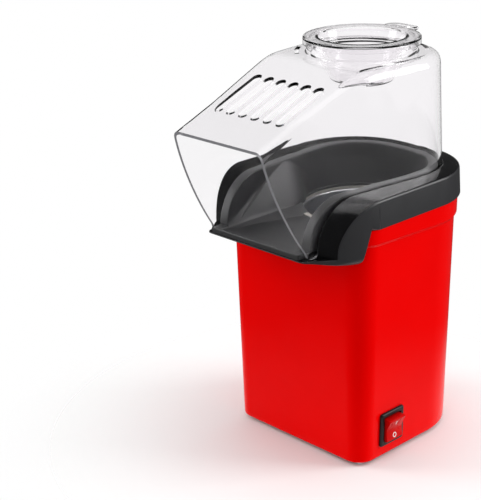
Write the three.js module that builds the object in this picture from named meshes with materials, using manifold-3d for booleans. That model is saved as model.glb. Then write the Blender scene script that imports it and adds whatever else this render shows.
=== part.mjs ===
// Hot-air popcorn maker: tapered housing, collar with a pouring spout, popping tray,
// clear lift-off hood with a measuring-cup lid, and the fan, motor and heater inside.
// Millimetres, +Z up. The front (spout) faces -Y and the switch is on the +X side.
import * as THREE from 'three';
import { mergeVertices } from 'three/addons/utils/BufferGeometryUtils.js';
import Module from 'manifold-3d';

const wasm = await Module();
wasm.setup();

// ---------------------------------------------------------------- driving dimensions
const gap = 0.3;                  // between two pieces that touch
const overcut = 5;                // how far a cutting tool runs past what it cuts
const round = 40;                 // facets round a large turned piece
const fineRound = 16;             // facets round a small turned piece

// Places along Y are drawn from a plane that crosses the housing a little in front of its middle
const spindleY = 11.3;            // axis of motor, fan, chamber, filler ring and lid

// Housing
const bodyWidth = 121;            // across the base
const bodyFront = 55.8;           // reference plane to the front face, at the base
const bodyRear = 66;              // reference plane to the back, at the base
const flare = 3.75;               // how far every face leans out from base to joint
const frontCorner = 13;
const rearCorner = 49;
const footHeight = 2.5;
const sideHeight = 170.7;         // base edge to the collar joint, at the sides
const frontDrop = 21.9;           // how much lower that joint is at the front face
const housingWall = 2.2;
const baseEdge = 1.6;             // rounding of the bottom edge
const beltHeight = 14;            // proud band under the collar
const beltProud = 1.7;
const beltChamfer = 2.2;
const beltTilt = 0.035;           // the band's lower edge falls towards the back

// Collar and spout
const bandHeight = 19.2;          // upright outer band, joint to crease
const collarProud = 0.7;          // past the belt
const collarWall = 2.6;
const bandLean = 1.3;
const spoutLength = 34.4;         // front face to lip
const lipHalfWidth = 46;
const lipFall = 10.7;             // lip's edge below the side joint
const lipThickness = 3.3;
const lipDepth = 2.8;
const sweepRadius = 32;           // the collar's fall from band top to lip
const sweepSetback = 17;          // its centre, behind the front face
const footForward = 6.4;          // the fall at the hood's foot is this far ahead of the crease
const rimForward = 10.6;          // and at the tray's rim
const spoutRise = 6;              // the spout's underside rises towards the lip
const spoutFloorThickness = 1.6;
const spoutFloorBack = 1.9;       // spout floor runs this far in behind the front face
const shelfRise = 1.2;            // shelf is this much higher at the hood

// Hood
const hoodWall = 2.2;
const taperStart = 8;             // the hood narrows forward of here
const shelfWidth = 13.2;          // collar's outer face to the hood's outer face
const hoodRearRadius = 44;
const hoodDraft = 3;              // each side leans in by this, foot to top
const hoodHeight = 78.8;          // collar top to the flat dome top
const domeEdge = 8;               // rounding of the dome's top edge
const foldSetback = 34.7;         // reference plane to the front edge of the dome's flat top
const mouthReach = 124.5;         // reference plane to the mouth's top edge
const mouthDrop = 35;             // dome top to the mouth's top edge
const mouthHalfWidth = 41.9;      // at the mouth's top edge, before draft
const mouthFootHalf = 43.2;       // at the mouth's foot
const grooveDepth = 4;
const tongueClearance = 0.4;      // hood's tongue above its ledge
const mouthFootY = 90.5;          // reference plane to the foot of the mouth
const grooveClearance = 0.5;
const hoodSlotCount = 6;
const hoodSlotWidth = 7;
const hoodSlotPitch = 11.1;
const hoodSlotFront = 98;         // reference plane to the slots' lower ends
const hoodSlotBack = 57.5;

// Ring and measuring-cup lid
const ringRadius = 37.6;
const ringHeight = 8;
const ringWall = 2.4;
const cupTopRadius = 31;
const cupBottomRadius = 21;
const cupDepth = 31;
const cupWall = 1.6;
const lidRimHeight = 5;
const lidWall = 1.8;
const lidClearance = 0.5;
const tabReach = 8;
const tabWidth = 26;
const tabAngle = 90;              // the tab points straight back
const ventArcs = [60, 219];       // centre angles of the two arc slots in the dome top
const ventArcHalf = 13;
const ventArcWidth = 3;
const ventArcGap = 5;

// Popping tray and chamber
const rimWidth = 7.2;             // flat rim inside the hood's wall
const bowlLedge = 2.4;            // tray floor left round the chamber's mouth at the sides
const trayWall = 1.6;
const floorRise = 2.5;            // tray floor rises from lip to chamber
const floorDepth = 1.2;           // tray floor below the lip's edge
const bowlRise = 20;              // height of the sloped part of the bowl
const bowlFront = 28;             // reference plane to the bowl's front
const channelBack = 24;           // channel runs back into the bowl to here
const channelCove = 12;           // side walls lean in by this at the back, at the floor
const channelCoveHeight = 22;
const ledgeThickness = 1.8;       // tray's ledge under the hood's foot
const ledgeFront = 76;
const chamberWall = 1.2;
const chamberFlange = 4;
const chamberTaper = 3;
const chamberDome = 6;            // the floor's middle is this much higher
const airSlotSlant = 30;
const airSlotLift = 13;
const airSlotCount = 16;
const airSlotWidth = 1.6;
const airSlotHeight = 11;
const gasketThickness = 1.6;
const gasketStep = 0.4;           // its bore stands back from the chamber's mouth
const sleeveClearance = 5;        // air space between chamber and sleeve
const sleeveWall = 0.8;
const sleeveFlange = 5;

// Fan, motor and heater
const ductWall = 1.8;
const boardThickness = 1.6;
const boardInner = 9;
const boardToHeater = 3;
const basePlateThickness = 2.4;
const basePlateRecess = 0.6;
const impellerHeight = 12;
const impellerBlades = 8;
const impellerHub = 9;
const bladeThickness = 1.6;
const fanGap = 5;                 // base plate to impeller
const spokeWidth = 7;
const mountThickness = 2.4;
const motorRadius = 18;
const motorLength = 24;
const motorCapLength = 4;
const shaftRadius = 1.6;
const shaftClearance = 0.25;
const pressClearance = 0.05;      // impeller's bore on the shaft
const motorScrewRadius = 1.4;
const motorScrewReach = 11;
const motorScrewDepth = 5;
const inletShare = 0.78;          // inlet radius over impeller radius
const impellerToMount = 4;
const ductClearance = 3;          // impeller to duct wall
const heaterHeight = 20;
const heaterLift = 4;             // duct top to heater frame
const coilWire = 1.1;
const coilTurns = 3;
const coilPitch = 5.4;
const micaThickness = 1;
const micaToSleeve = 7;
const coilToChamber = 3.5;        // heater frame to the chamber's floor

// Switch and cord gland
const bezelWidth = 23.5;
const bezelHeight = 25;
const bezelProud = 2.2;
const bezelRim = 3.2;
const bezelFlange = 2;            // bezel's edge past the cut-out
const switchDepth = 14;
const switchY = -25.4;
const switchHeight = 21;          // base edge to the switch's centre
const rockerRest = 8;             // degrees: at rest the rocker is pressed one way by this
const rockerPocket = 8;
const rockerDepth = 0.72;
const terminalLength = 8;
const terminalSpacing = 10;
const rockerClearance = 0.5;
const rockerProud = 3.4;
const glandHole = 5.2;
const glandBore = 3.4;
const glandHeight = 17;
const glandInside = 1.5;

// Base, feet and screws
const footRadius = 6.5;
const footPeg = 2.4;
const footPlaces = [[41, -36], [-41, -36], [30, 46], [-30, 46]];
const screwRadius = 1.5;
const screwHeadRadius = 3;
const screwHeadHeight = 1.6;
const screwLength = 10;
const bossRadius = 4.2;
const bossBite = 0.8;             // how far a boss is sunk in the housing's wall
const bossHeight = 18;
const intakeSlots = 16;
const intakeInner = 10;
const intakeOuter = 29;
const intakeWidth = 2.4;
const rearVentCount = 5;
const rearVentWidth = 30;
const rearVentHeight = 2.4;
const rearVentPitch = 5;
const rearVentLow = 34;
const thermostatRadius = 6.5;
const thermostatHeight = 6;

// ---------------------------------------------------------------- derived levels
const halfWidth = bodyWidth / 2;
const baseZ = footHeight;
const jointZ = baseZ + sideHeight;
const frontJointZ = jointZ - frontDrop;
const collarTop = jointZ + bandHeight;
const lipZ = jointZ - lipFall;
const domeTop = collarTop + hoodHeight;
const collarHalf = halfWidth + flare + beltProud + collarProud;
const collarRear = bodyRear + flare + beltProud + collarProud;
const faceY = bodyFront + flare;
const lipFront = faceY + spoutLength;
const hoodHalf = collarHalf - shelfWidth;
const hoodRear = collarRear - shelfWidth + 3.2;
const ledgeZ = lipZ - grooveDepth;
const floorBack = lipZ - floorDepth + floorRise;
const tongueZ = ledgeZ + tongueClearance;
const trayHalf = hoodHalf - hoodWall - grooveClearance;
const bowlHalf = trayHalf - rimWidth;
const depthBehindSpindle = bodyRear - spindleY - housingWall;
const chamberRadius = Math.min(bowlHalf - bowlLedge, depthBehindSpindle - sleeveClearance - sleeveFlange);
const ringHole = ringRadius - ringWall;
const ringTop = domeTop + ringHeight;
const plateTop = baseZ + basePlateRecess + basePlateThickness;
const impellerZ = plateTop + gap + ductWall + fanGap;
const mountZ = impellerZ + impellerHeight + impellerToMount;
const motorZ = mountZ + mountThickness + gap;
const boardZ = motorZ + motorLength + gap + motorCapLength + gap;
const ductTop = boardZ + boardThickness + boardToHeater;
const sleeveInner = chamberRadius + sleeveClearance;
const ductRadius = sleeveInner + sleeveWall;
const micaReach = sleeveInner - micaToSleeve;
const impellerRadius = ductRadius - ductWall - ductClearance;
const gasketTop = floorBack - trayWall - gap;
const chamberTop = gasketTop - gasketThickness - gap;
const chamberBottom = ductTop + gap + heaterLift + heaterHeight + coilToChamber;
const switchZ = baseZ + switchHeight;
const glandZ = baseZ + glandHeight;
const thermostatZ = (ductTop + chamberTop) / 2;
const acrossX = collarHalf + overcut;

// ---------------------------------------------------------------- geometry helpers
function toSolid(geometry) {
  let merged = geometry.index ? geometry.toNonIndexed() : geometry.clone();
  merged.deleteAttribute('normal');
  merged.deleteAttribute('uv');
  merged = mergeVertices(merged, 1e-4);
  return new wasm.Manifold(new wasm.Mesh({
    numProp: 3,
    vertProperties: new Float32Array(merged.attributes.position.array),
    triVerts: new Uint32Array(merged.index.array),
  }));
}

function toGeometry(solid) {
  const { vertProperties, triVerts } = solid.getMesh();
  const geometry = new THREE.BufferGeometry();
  geometry.setAttribute('position', new THREE.BufferAttribute(new Float32Array(vertProperties), 3));
  geometry.setIndex(new THREE.BufferAttribute(new Uint32Array(triVerts), 1));
  geometry.computeVertexNormals();
  return geometry;
}

// A closed solid through rings of equal length, each counterclockwise seen from above, lowest first.
function loft(rings, turn) {
  const count = rings[0].length;
  const positions = rings.flat(2);
  const index = [];
  for (let level = 0; level + 1 < rings.length; level++) {
    for (let i = 0; i < count; i++) {
      const a = level * count + i;
      const b = level * count + (i + 1) % count;
      index.push(a, b, b + count, a, b + count, a + count);
    }
  }
  const cap = THREE.ShapeUtils.triangulateShape(rings[0].map(([x, y]) => new THREE.Vector2(x, y)), []);
  const top = (rings.length - 1) * count;
  for (const [a, b, c] of cap) {
    index.push(a, c, b, top + a, top + b, top + c);
  }
  const geometry = new THREE.BufferGeometry();
  geometry.setAttribute('position', new THREE.BufferAttribute(new Float32Array(positions), 3));
  geometry.setIndex(index);
  if (turn) {
    geometry.applyMatrix4(turn);
  }
  return toSolid(geometry);
}

// Turns a solid drawn as (y, z, x) so that its third axis lies along X.
const alongX = new THREE.Matrix4().set(0, 0, 1, 0, 1, 0, 0, 0, 0, 1, 0, 0, 0, 0, 0, 1);
// Turns a solid drawn as (-z, y, x) so that it faces +X.
const facingX = new THREE.Matrix4().makeRotationY(Math.PI / 2);
const alongY = (solid) => solid.rotate([-90, 0, 0]);

const atHeight = (outline, z) => outline.map(([x, y]) => [x, y, z]);

const prism = (outline, low, high) => loft([atHeight(outline, low), atHeight(outline, high)]);

function shapeOf(points) {
  return new THREE.Shape(points.map(([x, y]) => new THREE.Vector2(x, y)));
}

// A prism along X whose section is drawn as [y, z] points.
function sidePrism(points, from, to) {
  const geometry = new THREE.ExtrudeGeometry(shapeOf(points), { depth: to - from, bevelEnabled: false });
  geometry.translate(0, 0, from);
  geometry.applyMatrix4(alongX);
  return toSolid(geometry);
}

// A turned solid on the Z axis from [radius, height] points that close on themselves.
function turned(profile, facets = round) {
  const points = [...profile, profile[0]].map(([r, z]) => new THREE.Vector2(r, z));
  const geometry = new THREE.LatheGeometry(points, facets);
  geometry.rotateX(Math.PI / 2);
  const solid = toSolid(geometry);
  return solid.volume() < 0 ? toSolid(flipped(geometry)) : solid;
}

function flipped(geometry) {
  const copy = geometry.toNonIndexed();
  const p = copy.attributes.position.array;
  for (let i = 0; i < p.length; i += 9) {
    for (let k = 0; k < 3; k++) {
      [p[i + 3 + k], p[i + 6 + k]] = [p[i + 6 + k], p[i + 3 + k]];
    }
  }
  return copy;
}

const tube = (inner, outer, low, high, facets = round) =>
  turned([[inner, low], [outer, low], [outer, high], [inner, high]], facets);

function disc(radius, low, high, facets = round) {
  const geometry = new THREE.CylinderGeometry(radius, radius, high - low, facets);
  geometry.rotateX(Math.PI / 2);
  geometry.translate(0, 0, (low + high) / 2);
  return toSolid(geometry);
}

function box(low, high) {
  const size = high.map((value, i) => value - low[i]);
  const geometry = new THREE.BoxGeometry(...size);
  geometry.translate(...low.map((value, i) => value + size[i] / 2));
  return toSolid(geometry);
}

const radians = (degrees) => degrees * Math.PI / 180;

// Points along an arc, both ends included.
function arc(cx, cy, radius, fromDegrees, toDegrees, steps) {
  return Array.from({ length: steps + 1 }, (_, i) => {
    const angle = radians(fromDegrees + (toDegrees - fromDegrees) * i / steps);
    return [cx + radius * Math.cos(angle), cy + radius * Math.sin(angle)];
  });
}

const mirrored = (rightSide) => [...rightSide, ...rightSide.map(([x, y]) => [-x, y]).reverse()];

// ---------------------------------------------------------------- materials
const finish = (color, roughness, metalness = 0, opacity = 1) => new THREE.MeshStandardMaterial({
  color, roughness, metalness, opacity, transparent: opacity < 1,
});
const finishes = {
  red: finish(0xe00808, 0.25),
  charcoal: finish(0x303032, 0.45),
  black: finish(0x0d0d0f, 0.25),
  tray: finish(0x3c3c3e, 0.5),
  clear: finish(0xf6f2f6, 0.05, 0, 0.25),
  aluminium: finish(0xc8c9cc, 0.35, 1),
  steel: finish(0xb4b6ba, 0.4, 1),
  mica: finish(0xcdbd96, 0.7),
  wire: finish(0x8a8684, 0.5, 1),
  blackPlastic: finish(0x191616, 0.5),
  redPlastic: finish(0xd81210, 0.3),
  greyPlastic: finish(0x6a6c70, 0.6),
  rubber: finish(0x1c1c1c, 0.9),
  silicone: finish(0xb8b4ac, 0.8),
  board: finish(0x1f5a34, 0.6),
  brass: finish(0xc9a24a, 0.35, 1),
};

const popcornMaker = new THREE.Group();

function add(name, solid, material, place = [0, 0, 0]) {
  const mesh = new THREE.Mesh(toGeometry(solid), finishes[material]);
  mesh.name = name;
  mesh.position.set(...place);
  popcornMaker.add(mesh);
}

// ---------------------------------------------------------------- outlines
// Housing outline, flat in front and round behind, grown outwards by `grow`.
function bodyOutline(grow) {
  const half = halfWidth + grow;
  const front = frontCorner + grow;
  const rear = rearCorner + grow;
  return mirrored([
    ...arc(half - front, front - bodyFront - grow, front, -90, 0, 6),
    ...arc(half - rear, bodyRear + grow - rear, rear, 0, 90, 14),
  ]);
}

// Collar outline: the housing's sides and back, drawn in to the spout in front.
function collarOutline(grow) {
  const half = collarHalf + grow;
  const rear = rearCorner + flare + grow;
  const spout = new THREE.CubicBezierCurve(
    new THREE.Vector2(lipHalfWidth + grow, -(lipFront - 5)),
    new THREE.Vector2(lipHalfWidth + grow + 7, -(lipFront - 13)),
    new THREE.Vector2(half, -(faceY + 8)),
    new THREE.Vector2(half, -(faceY - 17)),
  ).getPoints(10).map(({ x, y }) => [x, y]);
  return mirrored([
    [lipHalfWidth + grow - 5.5, -(lipFront + grow)],
    [lipHalfWidth + grow - 1.8, -(lipFront + grow - 1.4)],
    ...spout,
    ...arc(half - rear, collarRear + grow - rear, rear, 0, 90, 14),
  ]);
}

// Half-width of the hood at foot level: full at the dome, narrowing to the mouth's foot and on to its top.
function hoodHalfAt(y) {
  const between = (from, fromHalf, to, toHalf) => fromHalf + (toHalf - fromHalf) * (from - y) / (from - to);
  if (y > taperStart) {
    return hoodHalf;
  }
  return y > -mouthFootY
    ? between(taperStart, hoodHalf, -mouthFootY, mouthFootHalf)
    : between(-mouthFootY, mouthFootHalf, -mouthReach, mouthHalfWidth);
}

// Hood outline grown outwards by `grow`, running forward to `front`.
function hoodOutline(grow, front = -mouthReach - overcut) {
  const sideBack = hoodRear - hoodRearRadius;
  return mirrored([
    [hoodHalfAt(front) + grow, front],
    [mouthFootHalf + grow, -mouthFootY],
    [hoodHalf + grow, taperStart],
    ...arc(hoodHalf - hoodRearRadius, sideBack, hoodRearRadius + grow, 0, 90, 14),
  ]);
}

// The collar's top falls from its level back round to the front. This is that fall as [y, z] points:
// `forward` moves it to the front, `drop` sinks it into the material, and it ends at `frontLevel`.
function sweepLine(forward, drop, lift, frontLevel) {
  const centreY = -(faceY - sweepSetback) - forward;
  const centreZ = collarTop - sweepRadius + lift;
  const radius = sweepRadius - drop;
  const above = (frontLevel - centreZ) / radius;
  const end = above > 0 ? 180 - Math.asin(above) * 180 / Math.PI : 180;
  return arc(centreY, centreZ, radius, 90, end, 9);
}

function sweepSection({ forward, drop = 0, lift = 0, frontLevel = ledgeZ }) {
  const line = sweepLine(forward, drop, lift, frontLevel);
  const [endY] = line[line.length - 1];
  const backY = collarRear + 3 * overcut;
  const frontY = -lipFront - 6 * overcut;
  const ceiling = domeTop + overcut;
  return [
    [backY, ceiling],
    [backY, collarTop + lift - drop],
    ...line,
    [endY - 0.01, frontLevel],
    [frontY, frontLevel],
    [frontY, ceiling],
  ].reverse();
}

const aboveSweep = (sweep) => sidePrism(sweepSection(sweep), -acrossX, acrossX);

// As aboveSweep, but blending from one sweep at the outer faces to another at the hood.
function aboveShelf(outerSweep, innerSweep) {
  const at = (sweep, x) => sweepSection(sweep).map(([y, z]) => [y, z, x]);
  return loft([
    at(outerSweep, -acrossX),
    at(outerSweep, -(collarHalf - bandLean)),
    at(innerSweep, -hoodHalf),
    at(innerSweep, hoodHalf),
    at(outerSweep, collarHalf - bandLean),
    at(outerSweep, acrossX),
  ], alongX);
}

const creaseSweep = { forward: 0 };
const footSweep = { forward: footForward, lift: shelfRise };
const rimSweep = { forward: rimForward, lift: shelfRise, frontLevel: lipZ };

// ---------------------------------------------------------------- housing
// Everything above the housing's top edge: level at the sides and back, lower in front,
// and rising again under the spout.
function aboveJoint(lift) {
  const frontY = -(lipFront + 4 * overcut);
  const frontRise = spoutRise * (-frontY - faceY) / spoutLength;
  const line = [
    [collarRear + overcut, jointZ],
    [-(faceY - 8), jointZ],
    [-(faceY - housingWall), frontJointZ + 1.5],
    [-(faceY - housingWall + 0.5), frontJointZ],
    [frontY, frontJointZ + frontRise],
  ].map(([y, z]) => [y, z + lift]);
  const above = [[frontY, domeTop], [collarRear + overcut, domeTop]];
  return sidePrism([...line, ...above].reverse(), -acrossX, acrossX);
}

const leanAt = (z) => flare * (z - baseZ) / sideHeight;

// Places of the four base screws: out from each corner's centre along its diagonal, clear of the wall.
const frontDiagonal = (frontCorner - housingWall - bossRadius + bossBite) * Math.SQRT1_2;
const rearDiagonal = (rearCorner - housingWall - bossRadius + bossBite) * Math.SQRT1_2;
const screwPlaces = [1, -1].flatMap((side) => [
  [side * (halfWidth - frontCorner + frontDiagonal), frontCorner - bodyFront - frontDiagonal],
  [side * (halfWidth - rearCorner + rearDiagonal), bodyRear - rearCorner + rearDiagonal],
]);

function switchCutout(clearance) {
  return box(
    [halfWidth - switchDepth, switchY - bezelWidth / 2 + bezelFlange - clearance,
      switchZ - bezelHeight / 2 + bezelFlange - clearance],
    [halfWidth + 2 * overcut, switchY + bezelWidth / 2 - bezelFlange + clearance,
      switchZ + bezelHeight / 2 - bezelFlange + clearance],
  );
}

function makeHousing() {
  const level = (z, grow, tilt = 0) => bodyOutline(grow).map(([x, y]) => [x, y, z - tilt * y]);
  const beltZ = jointZ - beltHeight;
  const outer = loft([
    level(baseZ, -baseEdge),
    level(baseZ + baseEdge * 0.3, -baseEdge * 0.3),
    level(baseZ + baseEdge, 0),
    level(beltZ, leanAt(beltZ), beltTilt),
    level(beltZ + beltChamfer, leanAt(beltZ) + beltProud, beltTilt),
    level(jointZ + overcut, flare + beltProud),
  ]);
  const inner = loft([
    level(baseZ - overcut, -housingWall),
    level(baseZ + baseEdge, -housingWall),
    level(beltZ, leanAt(beltZ) - housingWall, beltTilt),
    level(beltZ + beltChamfer, leanAt(beltZ) + beltProud - housingWall, beltTilt),
    level(jointZ + 2 * overcut, flare + beltProud - housingWall),
  ]);
  let shell = outer.subtract(inner).subtract(aboveJoint(0));
  for (const [x, y] of screwPlaces) {
    const boss = tube(screwRadius, bossRadius, plateTop + gap, plateTop + gap + bossHeight, fineRound);
    shell = shell.add(boss.translate([x, y, 0]).intersect(outer));
  }
  for (let i = 0; i < rearVentCount; i++) {
    const low = baseZ + rearVentLow + i * rearVentPitch;
    shell = shell.subtract(box(
      [-rearVentWidth / 2, bodyRear - 3 * overcut, low],
      [rearVentWidth / 2, bodyRear + 2 * overcut, low + rearVentHeight],
    ));
  }
  return shell.subtract(switchCutout(gap)).subtract(alongY(disc(glandHole, -overcut, overcut, fineRound))
    .translate([0, bodyRear, glandZ]));
}

// ---------------------------------------------------------------- collar
function makeCollar() {
  const low = frontJointZ - overcut;
  const behindLip = box([-acrossX, -(lipFront - collarWall), low], [acrossX, collarRear + overcut, domeTop]);
  const hoodSpace = prism(hoodOutline(grooveClearance), low, domeTop).intersect(behindLip);
  const spoutFloor = prism(collarOutline(0), low, domeTop)
    .intersect(box([-acrossX, -lipFront - overcut, low], [acrossX, -(faceY - spoutFloorBack), domeTop]))
    .subtract(aboveJoint(gap + spoutFloorThickness));
  const skin = prism(collarOutline(-collarWall), low, domeTop)
    .subtract(prism(hoodOutline(grooveClearance + collarWall), low, domeTop))
    .subtract(aboveShelf({ ...creaseSweep, drop: collarWall }, { ...footSweep, drop: collarWall }))
    .intersect(box([-acrossX, -(faceY - spoutFloorBack), low], [acrossX, collarRear, domeTop]));
  return loft([
    atHeight(collarOutline(0), low),
    atHeight(collarOutline(0), jointZ + 3),
    atHeight(collarOutline(-bandLean), collarTop + overcut),
  ])
    .subtract(hoodSpace)
    .subtract(aboveShelf(creaseSweep, footSweep))
    .subtract(skin)
    .add(spoutFloor)
    .intersect(aboveJoint(gap));
}

// ---------------------------------------------------------------- tray
// The hollow that popcorn fills: a bowl over the chamber and a channel out to the lip.
function trayHollow(grow) {
  const bowlSide = bowlHalf + grow;
  const bowlBack = hoodRear - hoodWall - grooveClearance - rimWidth + grow;
  const mouthSide = chamberRadius + grow;
  const ceiling = collarTop + overcut;
  const bowlFloor = floorBack - grow;
  const ring = (half, front, back, radius, z) => atHeight(mirrored([
    ...arc(half - radius, front + radius, radius, -90, 0, 12),
    ...arc(half - radius, back - radius, radius, 0, 90, 12),
  ]), z);
  const bowl = loft([
    ring(mouthSide, spindleY - mouthSide, spindleY + mouthSide, mouthSide - 0.01, bowlFloor),
    ring(bowlSide, -bowlFront - grow, bowlBack, bowlSide - 8, bowlFloor + bowlRise),
    ring(bowlSide, -bowlFront - grow, bowlBack, bowlSide - 8, ceiling),
  ]);
  const frontY = -(lipFront - lipThickness + grow);
  const backY = -channelBack;
  const flatY = spindleY - chamberRadius - chamberFlange - 1;
  const floorAt = (y) => lipZ - floorDepth - grow + floorRise * Math.min(1, (frontY - y) / (frontY - flatY));
  const wallAt = (y) => hoodHalfAt(y) - hoodWall - grooveClearance - rimWidth + grow;
  const section = (inset, rise) => mirrored([
    [wallAt(frontY), frontY],
    [wallAt(-(lipFront - lipThickness - 14)), -(lipFront - lipThickness - 14)],
    [wallAt(flatY), flatY],
    [wallAt(backY), backY],
  ]).map(([x, y], i) => {
    const share = (y - frontY) / (backY - frontY);
    return [x - Math.sign(x) * inset * share, y, floorAt(y) + rise * share];
  });
  const channel = loft([
    section(channelCove, 0),
    section(0, channelCoveHeight),
    atHeight(section(0, 0), ceiling),
  ]);
  return bowl.add(channel);
}

function makeTray() {
  const low = frontJointZ - overcut;
  const outline = hoodOutline(-hoodWall - grooveClearance);
  const within = box([-acrossX, -(lipFront - collarWall - gap), low], [acrossX, collarRear, domeTop]);
  const under = aboveSweep(rimSweep);
  const rim = prism(outline, low, domeTop).intersect(within)
    .intersect(aboveSweep({ ...rimSweep, drop: trayWall, frontLevel: lipZ - trayWall }));
  const skirt = prism(outline, floorBack - trayWall, domeTop).intersect(within)
    .subtract(prism(hoodOutline(-hoodWall - grooveClearance - trayWall), low, domeTop)
      .intersect(within.translate([0, trayWall, 0])));
  const ledge = prism(hoodOutline(grooveClearance - gap), low, domeTop).intersect(within)
    .subtract(prism(hoodOutline(-hoodWall - grooveClearance - trayWall), low, domeTop))
    .intersect(aboveSweep({ ...footSweep, drop: grooveDepth + gap + ledgeThickness }))
    .subtract(aboveSweep({ ...footSweep, drop: grooveDepth + gap }))
    .intersect(box([-acrossX, -ledgeFront, low], [acrossX, collarRear, domeTop]));
  const lipHalf = mouthFootHalf - hoodWall - grooveClearance;
  const lip = box(
    [-lipHalf, -lipFront, lipZ - lipDepth],
    [lipHalf, -(lipFront - lipThickness - 1), lipZ],
  );
  return rim.add(skirt).add(trayHollow(trayWall)).subtract(under).add(ledge).add(lip)
    .subtract(trayHollow(0))
    .subtract(disc(chamberRadius, low, floorBack + 1).translate([0, spindleY, 0]));
}

// ---------------------------------------------------------------- hood
function hoodBlock(grow) {
  const top = domeTop + grow;
  const levels = [];
  const draftAt = (z) => -hoodDraft * Math.max(0, z - collarTop) / hoodHeight;
  for (const z of [ledgeZ - overcut, collarTop]) {
    levels.push(atHeight(hoodOutline(grow + draftAt(z)), z));
  }
  const edge = domeEdge + grow;
  for (let i = 0; i <= 5; i++) {
    const angle = radians(90 * i / 5);
    const z = top - edge + edge * Math.sin(angle);
    levels.push(atHeight(hoodOutline(grow + draftAt(z) - edge * (1 - Math.cos(angle))), z));
  }
  return loft(levels);
}

function makeHood() {
  const mouthZ = domeTop - mouthDrop;
  const slope = mouthDrop / (mouthReach - foldSetback);
  const backY = collarRear + overcut;
  const foot = sweepLine(footForward, grooveDepth, shelfRise, tongueZ + 4.5);
  const mouthEdge = new THREE.CubicBezierCurve(
    new THREE.Vector2(-mouthFootY, tongueZ + 4.5),
    new THREE.Vector2(-mouthFootY - 14, tongueZ + 24),
    new THREE.Vector2(-mouthReach + 5, mouthZ - 24),
    new THREE.Vector2(-mouthReach, mouthZ),
  ).getPoints(12).map(({ x, y }) => [x, y]);
  const outside = hoodBlock(0).intersect(sidePrism([
    [backY, domeTop + overcut],
    [backY, collarTop + shelfRise - grooveDepth],
    ...foot,
    [-mouthFootY + 10, tongueZ + 1.6],
    [-mouthFootY + 6.5, tongueZ],
    [-mouthFootY + 3.5, tongueZ],
    [-mouthFootY + 1.2, tongueZ + 1.6],
    ...mouthEdge,
    [-foldSetback, domeTop],
    [-foldSetback, domeTop + overcut],
  ].reverse(), -acrossX, acrossX));
  const farY = -mouthReach - 2 * overcut;
  const roof = hoodWall * Math.sqrt(1 + slope * slope);
  const inside = hoodBlock(-hoodWall).intersect(sidePrism([
    [backY, domeTop - hoodWall],
    [backY, ledgeZ - 2 * overcut],
    [farY, ledgeZ - 2 * overcut],
    [farY, mouthZ - roof - slope * 2 * overcut],
    [-foldSetback, domeTop - roof],
    [-foldSetback + 1, domeTop - hoodWall],
  ].reverse(), -acrossX, acrossX));
  let hood = outside.subtract(inside);
  const ring = tube(ringHole, ringRadius, domeTop - hoodWall / 2, ringTop).translate([0, spindleY, 0]);
  const fillerHole = disc(ringHole, domeTop - 2 * overcut, ringTop + overcut).translate([0, spindleY, 0]);
  hood = hood.add(ring).subtract(fillerHole);
  for (let i = 0; i < hoodSlotCount; i++) {
    const x = (i - (hoodSlotCount - 1) / 2) * hoodSlotPitch;
    const r = hoodSlotWidth / 2;
    const slot = [
      ...arc(x, -(hoodSlotBack + r), r, 0, 180, 6),
      ...arc(x, -(hoodSlotFront - r), r, 180, 360, 6),
    ];
    hood = hood.subtract(prism(slot, mouthZ - 3 * overcut, domeTop + overcut));
  }
  for (const centre of ventArcs) {
    const radius = ringRadius + ventArcGap + ventArcWidth;
    const slot = [
      ...arc(0, spindleY, radius, centre - ventArcHalf, centre + ventArcHalf, 6),
      ...arc(0, spindleY, radius - ventArcWidth, centre + ventArcHalf, centre - ventArcHalf, 6),
    ];
    hood = hood.subtract(prism(slot, domeTop - overcut, domeTop + overcut));
  }
  return hood;
}

// ---------------------------------------------------------------- measuring-cup lid
function makeCupLid() {
  const top = ringTop + gap + lidWall;
  const bottom = top - cupDepth;
  const skirtInner = ringRadius + lidClearance;
  const skirtOuter = skirtInner + lidWall;
  const cap = turned([
    [0, bottom],
    [cupBottomRadius - 2, bottom],
    [cupBottomRadius, bottom + 2],
    [cupTopRadius, ringTop + gap],
    [skirtInner, ringTop + gap],
    [skirtInner, top - lidRimHeight],
    [skirtOuter, top - lidRimHeight],
    [skirtOuter, top - 1],
    [skirtOuter - 1, top],
    [cupTopRadius - cupWall, top],
    [cupBottomRadius - cupWall, bottom + 2 + cupWall / 2],
    [cupBottomRadius - cupWall - 1, bottom + cupWall],
    [0, bottom + cupWall],
  ]);
  const reach = skirtOuter + tabReach;
  const tab = prism([
    [skirtOuter - 3, -tabWidth / 2],
    ...arc(reach - tabWidth / 4, -tabWidth / 4, tabWidth / 4, -60, 0, 4),
    ...arc(reach - tabWidth / 4, tabWidth / 4, tabWidth / 4, 0, 60, 4),
    [skirtOuter - 3, tabWidth / 2],
  ], top - lidWall, top)
    .subtract(box([skirtOuter + 1.2, -5, top - 2 * lidWall], [skirtOuter + 3.2, 5, top + lidWall]));
  return cap.add(tab.rotate([0, 0, tabAngle])).translate([0, spindleY, 0]);
}

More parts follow.
